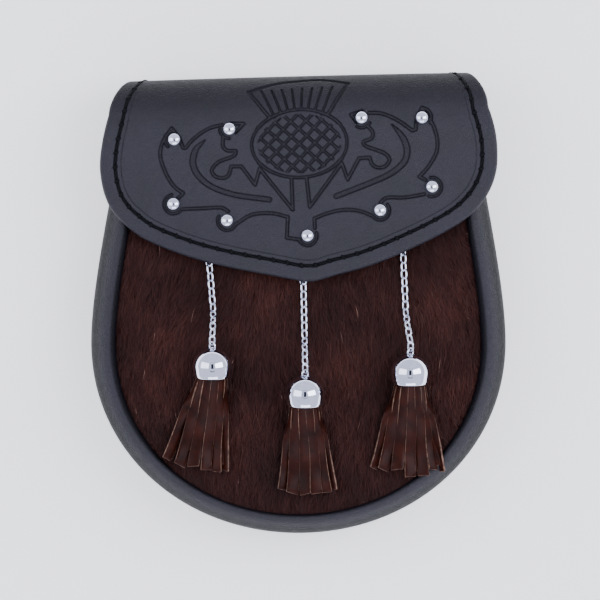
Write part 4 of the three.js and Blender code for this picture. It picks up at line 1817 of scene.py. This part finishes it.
        ribbon = add_grid(f"strip_{index}", columns, rows)
        move_points(ribbon, grid.reshape(-1, 3))
        ribbon.data.materials.append(self.finishes.brown)
        ribbon.data.materials.append(self.finishes.cut)
        edit(ribbon, lambda: bpy.ops.mesh.normals_make_consistent(inside=False))
        modify(ribbon, "SOLIDIFY", thickness=self.strip_thick, offset=0, material_offset_rim=1)
        modify(ribbon, "BEVEL", width=0.1, segments=1, limit_method="ANGLE", angle_limit=math.radians(60))
        smooth(ribbon, 45)
        return ribbon


# ------------------------------------------------------------------ studio


@dataclass
class Studio:
    """White floor, a soft white tent of light, and the camera looking straight down on the bag."""

    view_height: float = 0.264
    distance: float = 6.0
    focus_height: float = 0.022

    def build(self) -> None:
        """Makes the floor, the tent of light and the camera."""
        self.floor()
        self.light("softbox_left", (-1.4, 0.2, 1.4), (1.2, 1.8), 14.0)
        self.light("softbox_right", (1.3, 0.3, 1.6), (1.0, 1.8), 26.0)
        self.light("softbox_low", (0.1, -1.5, 1.2), (1.8, 0.9), 12.0)
        self.card("tent_opening", (0.75, 1.8), 0.75)
        self.card("tent_frame", (1.7, 3.0), 0.14)
        self.surroundings()
        self.camera()

    def card(self, name: str, half: tuple[float, float], border: float) -> None:
        """A black card above the camera, open in its middle where the border is narrow.

        Args:
            name: Its name.
            half: Half its two sides.
            border: The width of the black part from its edge.
        """
        above = (0, 0, self.distance + 0.2)
        card = add_shape(name, bpy.ops.mesh.primitive_plane_add, size=2, location=above)
        move_points(card, points_of(card) * [*half, 1])
        open_middle = border < min(half) - 0.01
        if open_middle:
            edit(card, lambda: bpy.ops.mesh.inset(thickness=border), lambda: bpy.ops.mesh.delete(type="FACE"))
        black = new_material(name + "_black")
        card.data.materials.append(finish_shader(black, {"Base Color": linear("#0a0d1a"), "Roughness": 0.9}))

    def floor(self) -> None:
        """The flat floor."""
        floor = add_shape("studio_floor", bpy.ops.mesh.primitive_plane_add, size=8)
        edit(floor, lambda: bpy.ops.mesh.subdivide(number_cuts=3))
        floor.data.materials.append(StudioWhite().build())

    def light(
        self, name: str, at: tuple[float, float, float], size: tuple[float, float], power: float
    ) -> None:
        """One softbox, aimed at the bag.

        Args:
            name: Its name.
            at: Where it stands.
            size: Its two sides.
            power: Its power in watts.
        """
        data = bpy.data.lights.new(name, "AREA")
        data.shape = "RECTANGLE"
        data.size, data.size_y = size
        data.energy = power
        data.color = (0.88, 0.9, 1.0)
        lamp = bpy.data.objects.new(name, data)
        bpy.context.collection.objects.link(lamp)
        lamp.location = at
        lamp.rotation_euler = (Vector((0, 0, 0.03)) - Vector(at)).to_track_quat("-Z", "Y").to_euler()

    def surroundings(self) -> None:
        """A pale grey room all round."""
        world = bpy.data.worlds.new("studio_room")
        world.use_nodes = True
        background = world.node_tree.nodes["Background"]
        background.inputs["Color"].default_value = (0.79, 0.82, 1.0, 1.0)
        background.inputs["Strength"].default_value = 1.12
        bpy.context.scene.world = world

    def camera(self) -> None:
        """The camera, straight above the front, with the fold at the top of the view."""
        low_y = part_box("gusset")[0][1]
        data = bpy.data.cameras.new("camera")
        data.sensor_width = 36
        data.lens = 36 * (self.distance - self.focus_height) / self.view_height
        data.clip_end = 20
        camera = bpy.data.objects.new("camera", data)
        bpy.context.collection.objects.link(camera)
        camera.location = (0.0007, low_y + 0.1025, self.distance)
        camera.rotation_euler = (0, 0, 0)
        bpy.context.scene.camera = camera


def main() -> None:
    """Builds the sporran piece by piece."""
    logging.basicConfig(level=logging.INFO, format="%(name)s %(message)s")
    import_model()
    form, lay, finishes = PouchForm(), Lay(), Finishes()
    chrome_node = bpy.data.objects["flap_snap"]
    chrome_node.data.materials.clear()
    chrome_node.data.materials.append(finishes.chrome)
    for part in (
        Pouch(form, lay, finishes),
        Flap(form, lay, finishes),
        Hardware(form, lay, finishes),
        BeltLoops(form, lay, finishes),
        Tassel(form, lay, finishes, LEFT_TASSEL),
        Tassel(form, lay, finishes, MIDDLE_TASSEL),
        Tassel(form, lay, finishes, RIGHT_TASSEL),
        Fur(form, lay, finishes),
    ):
        part.build()
        LOG.info("%s done", type(part).__name__)
    Studio().build()


if __name__ == "__main__":
    main()
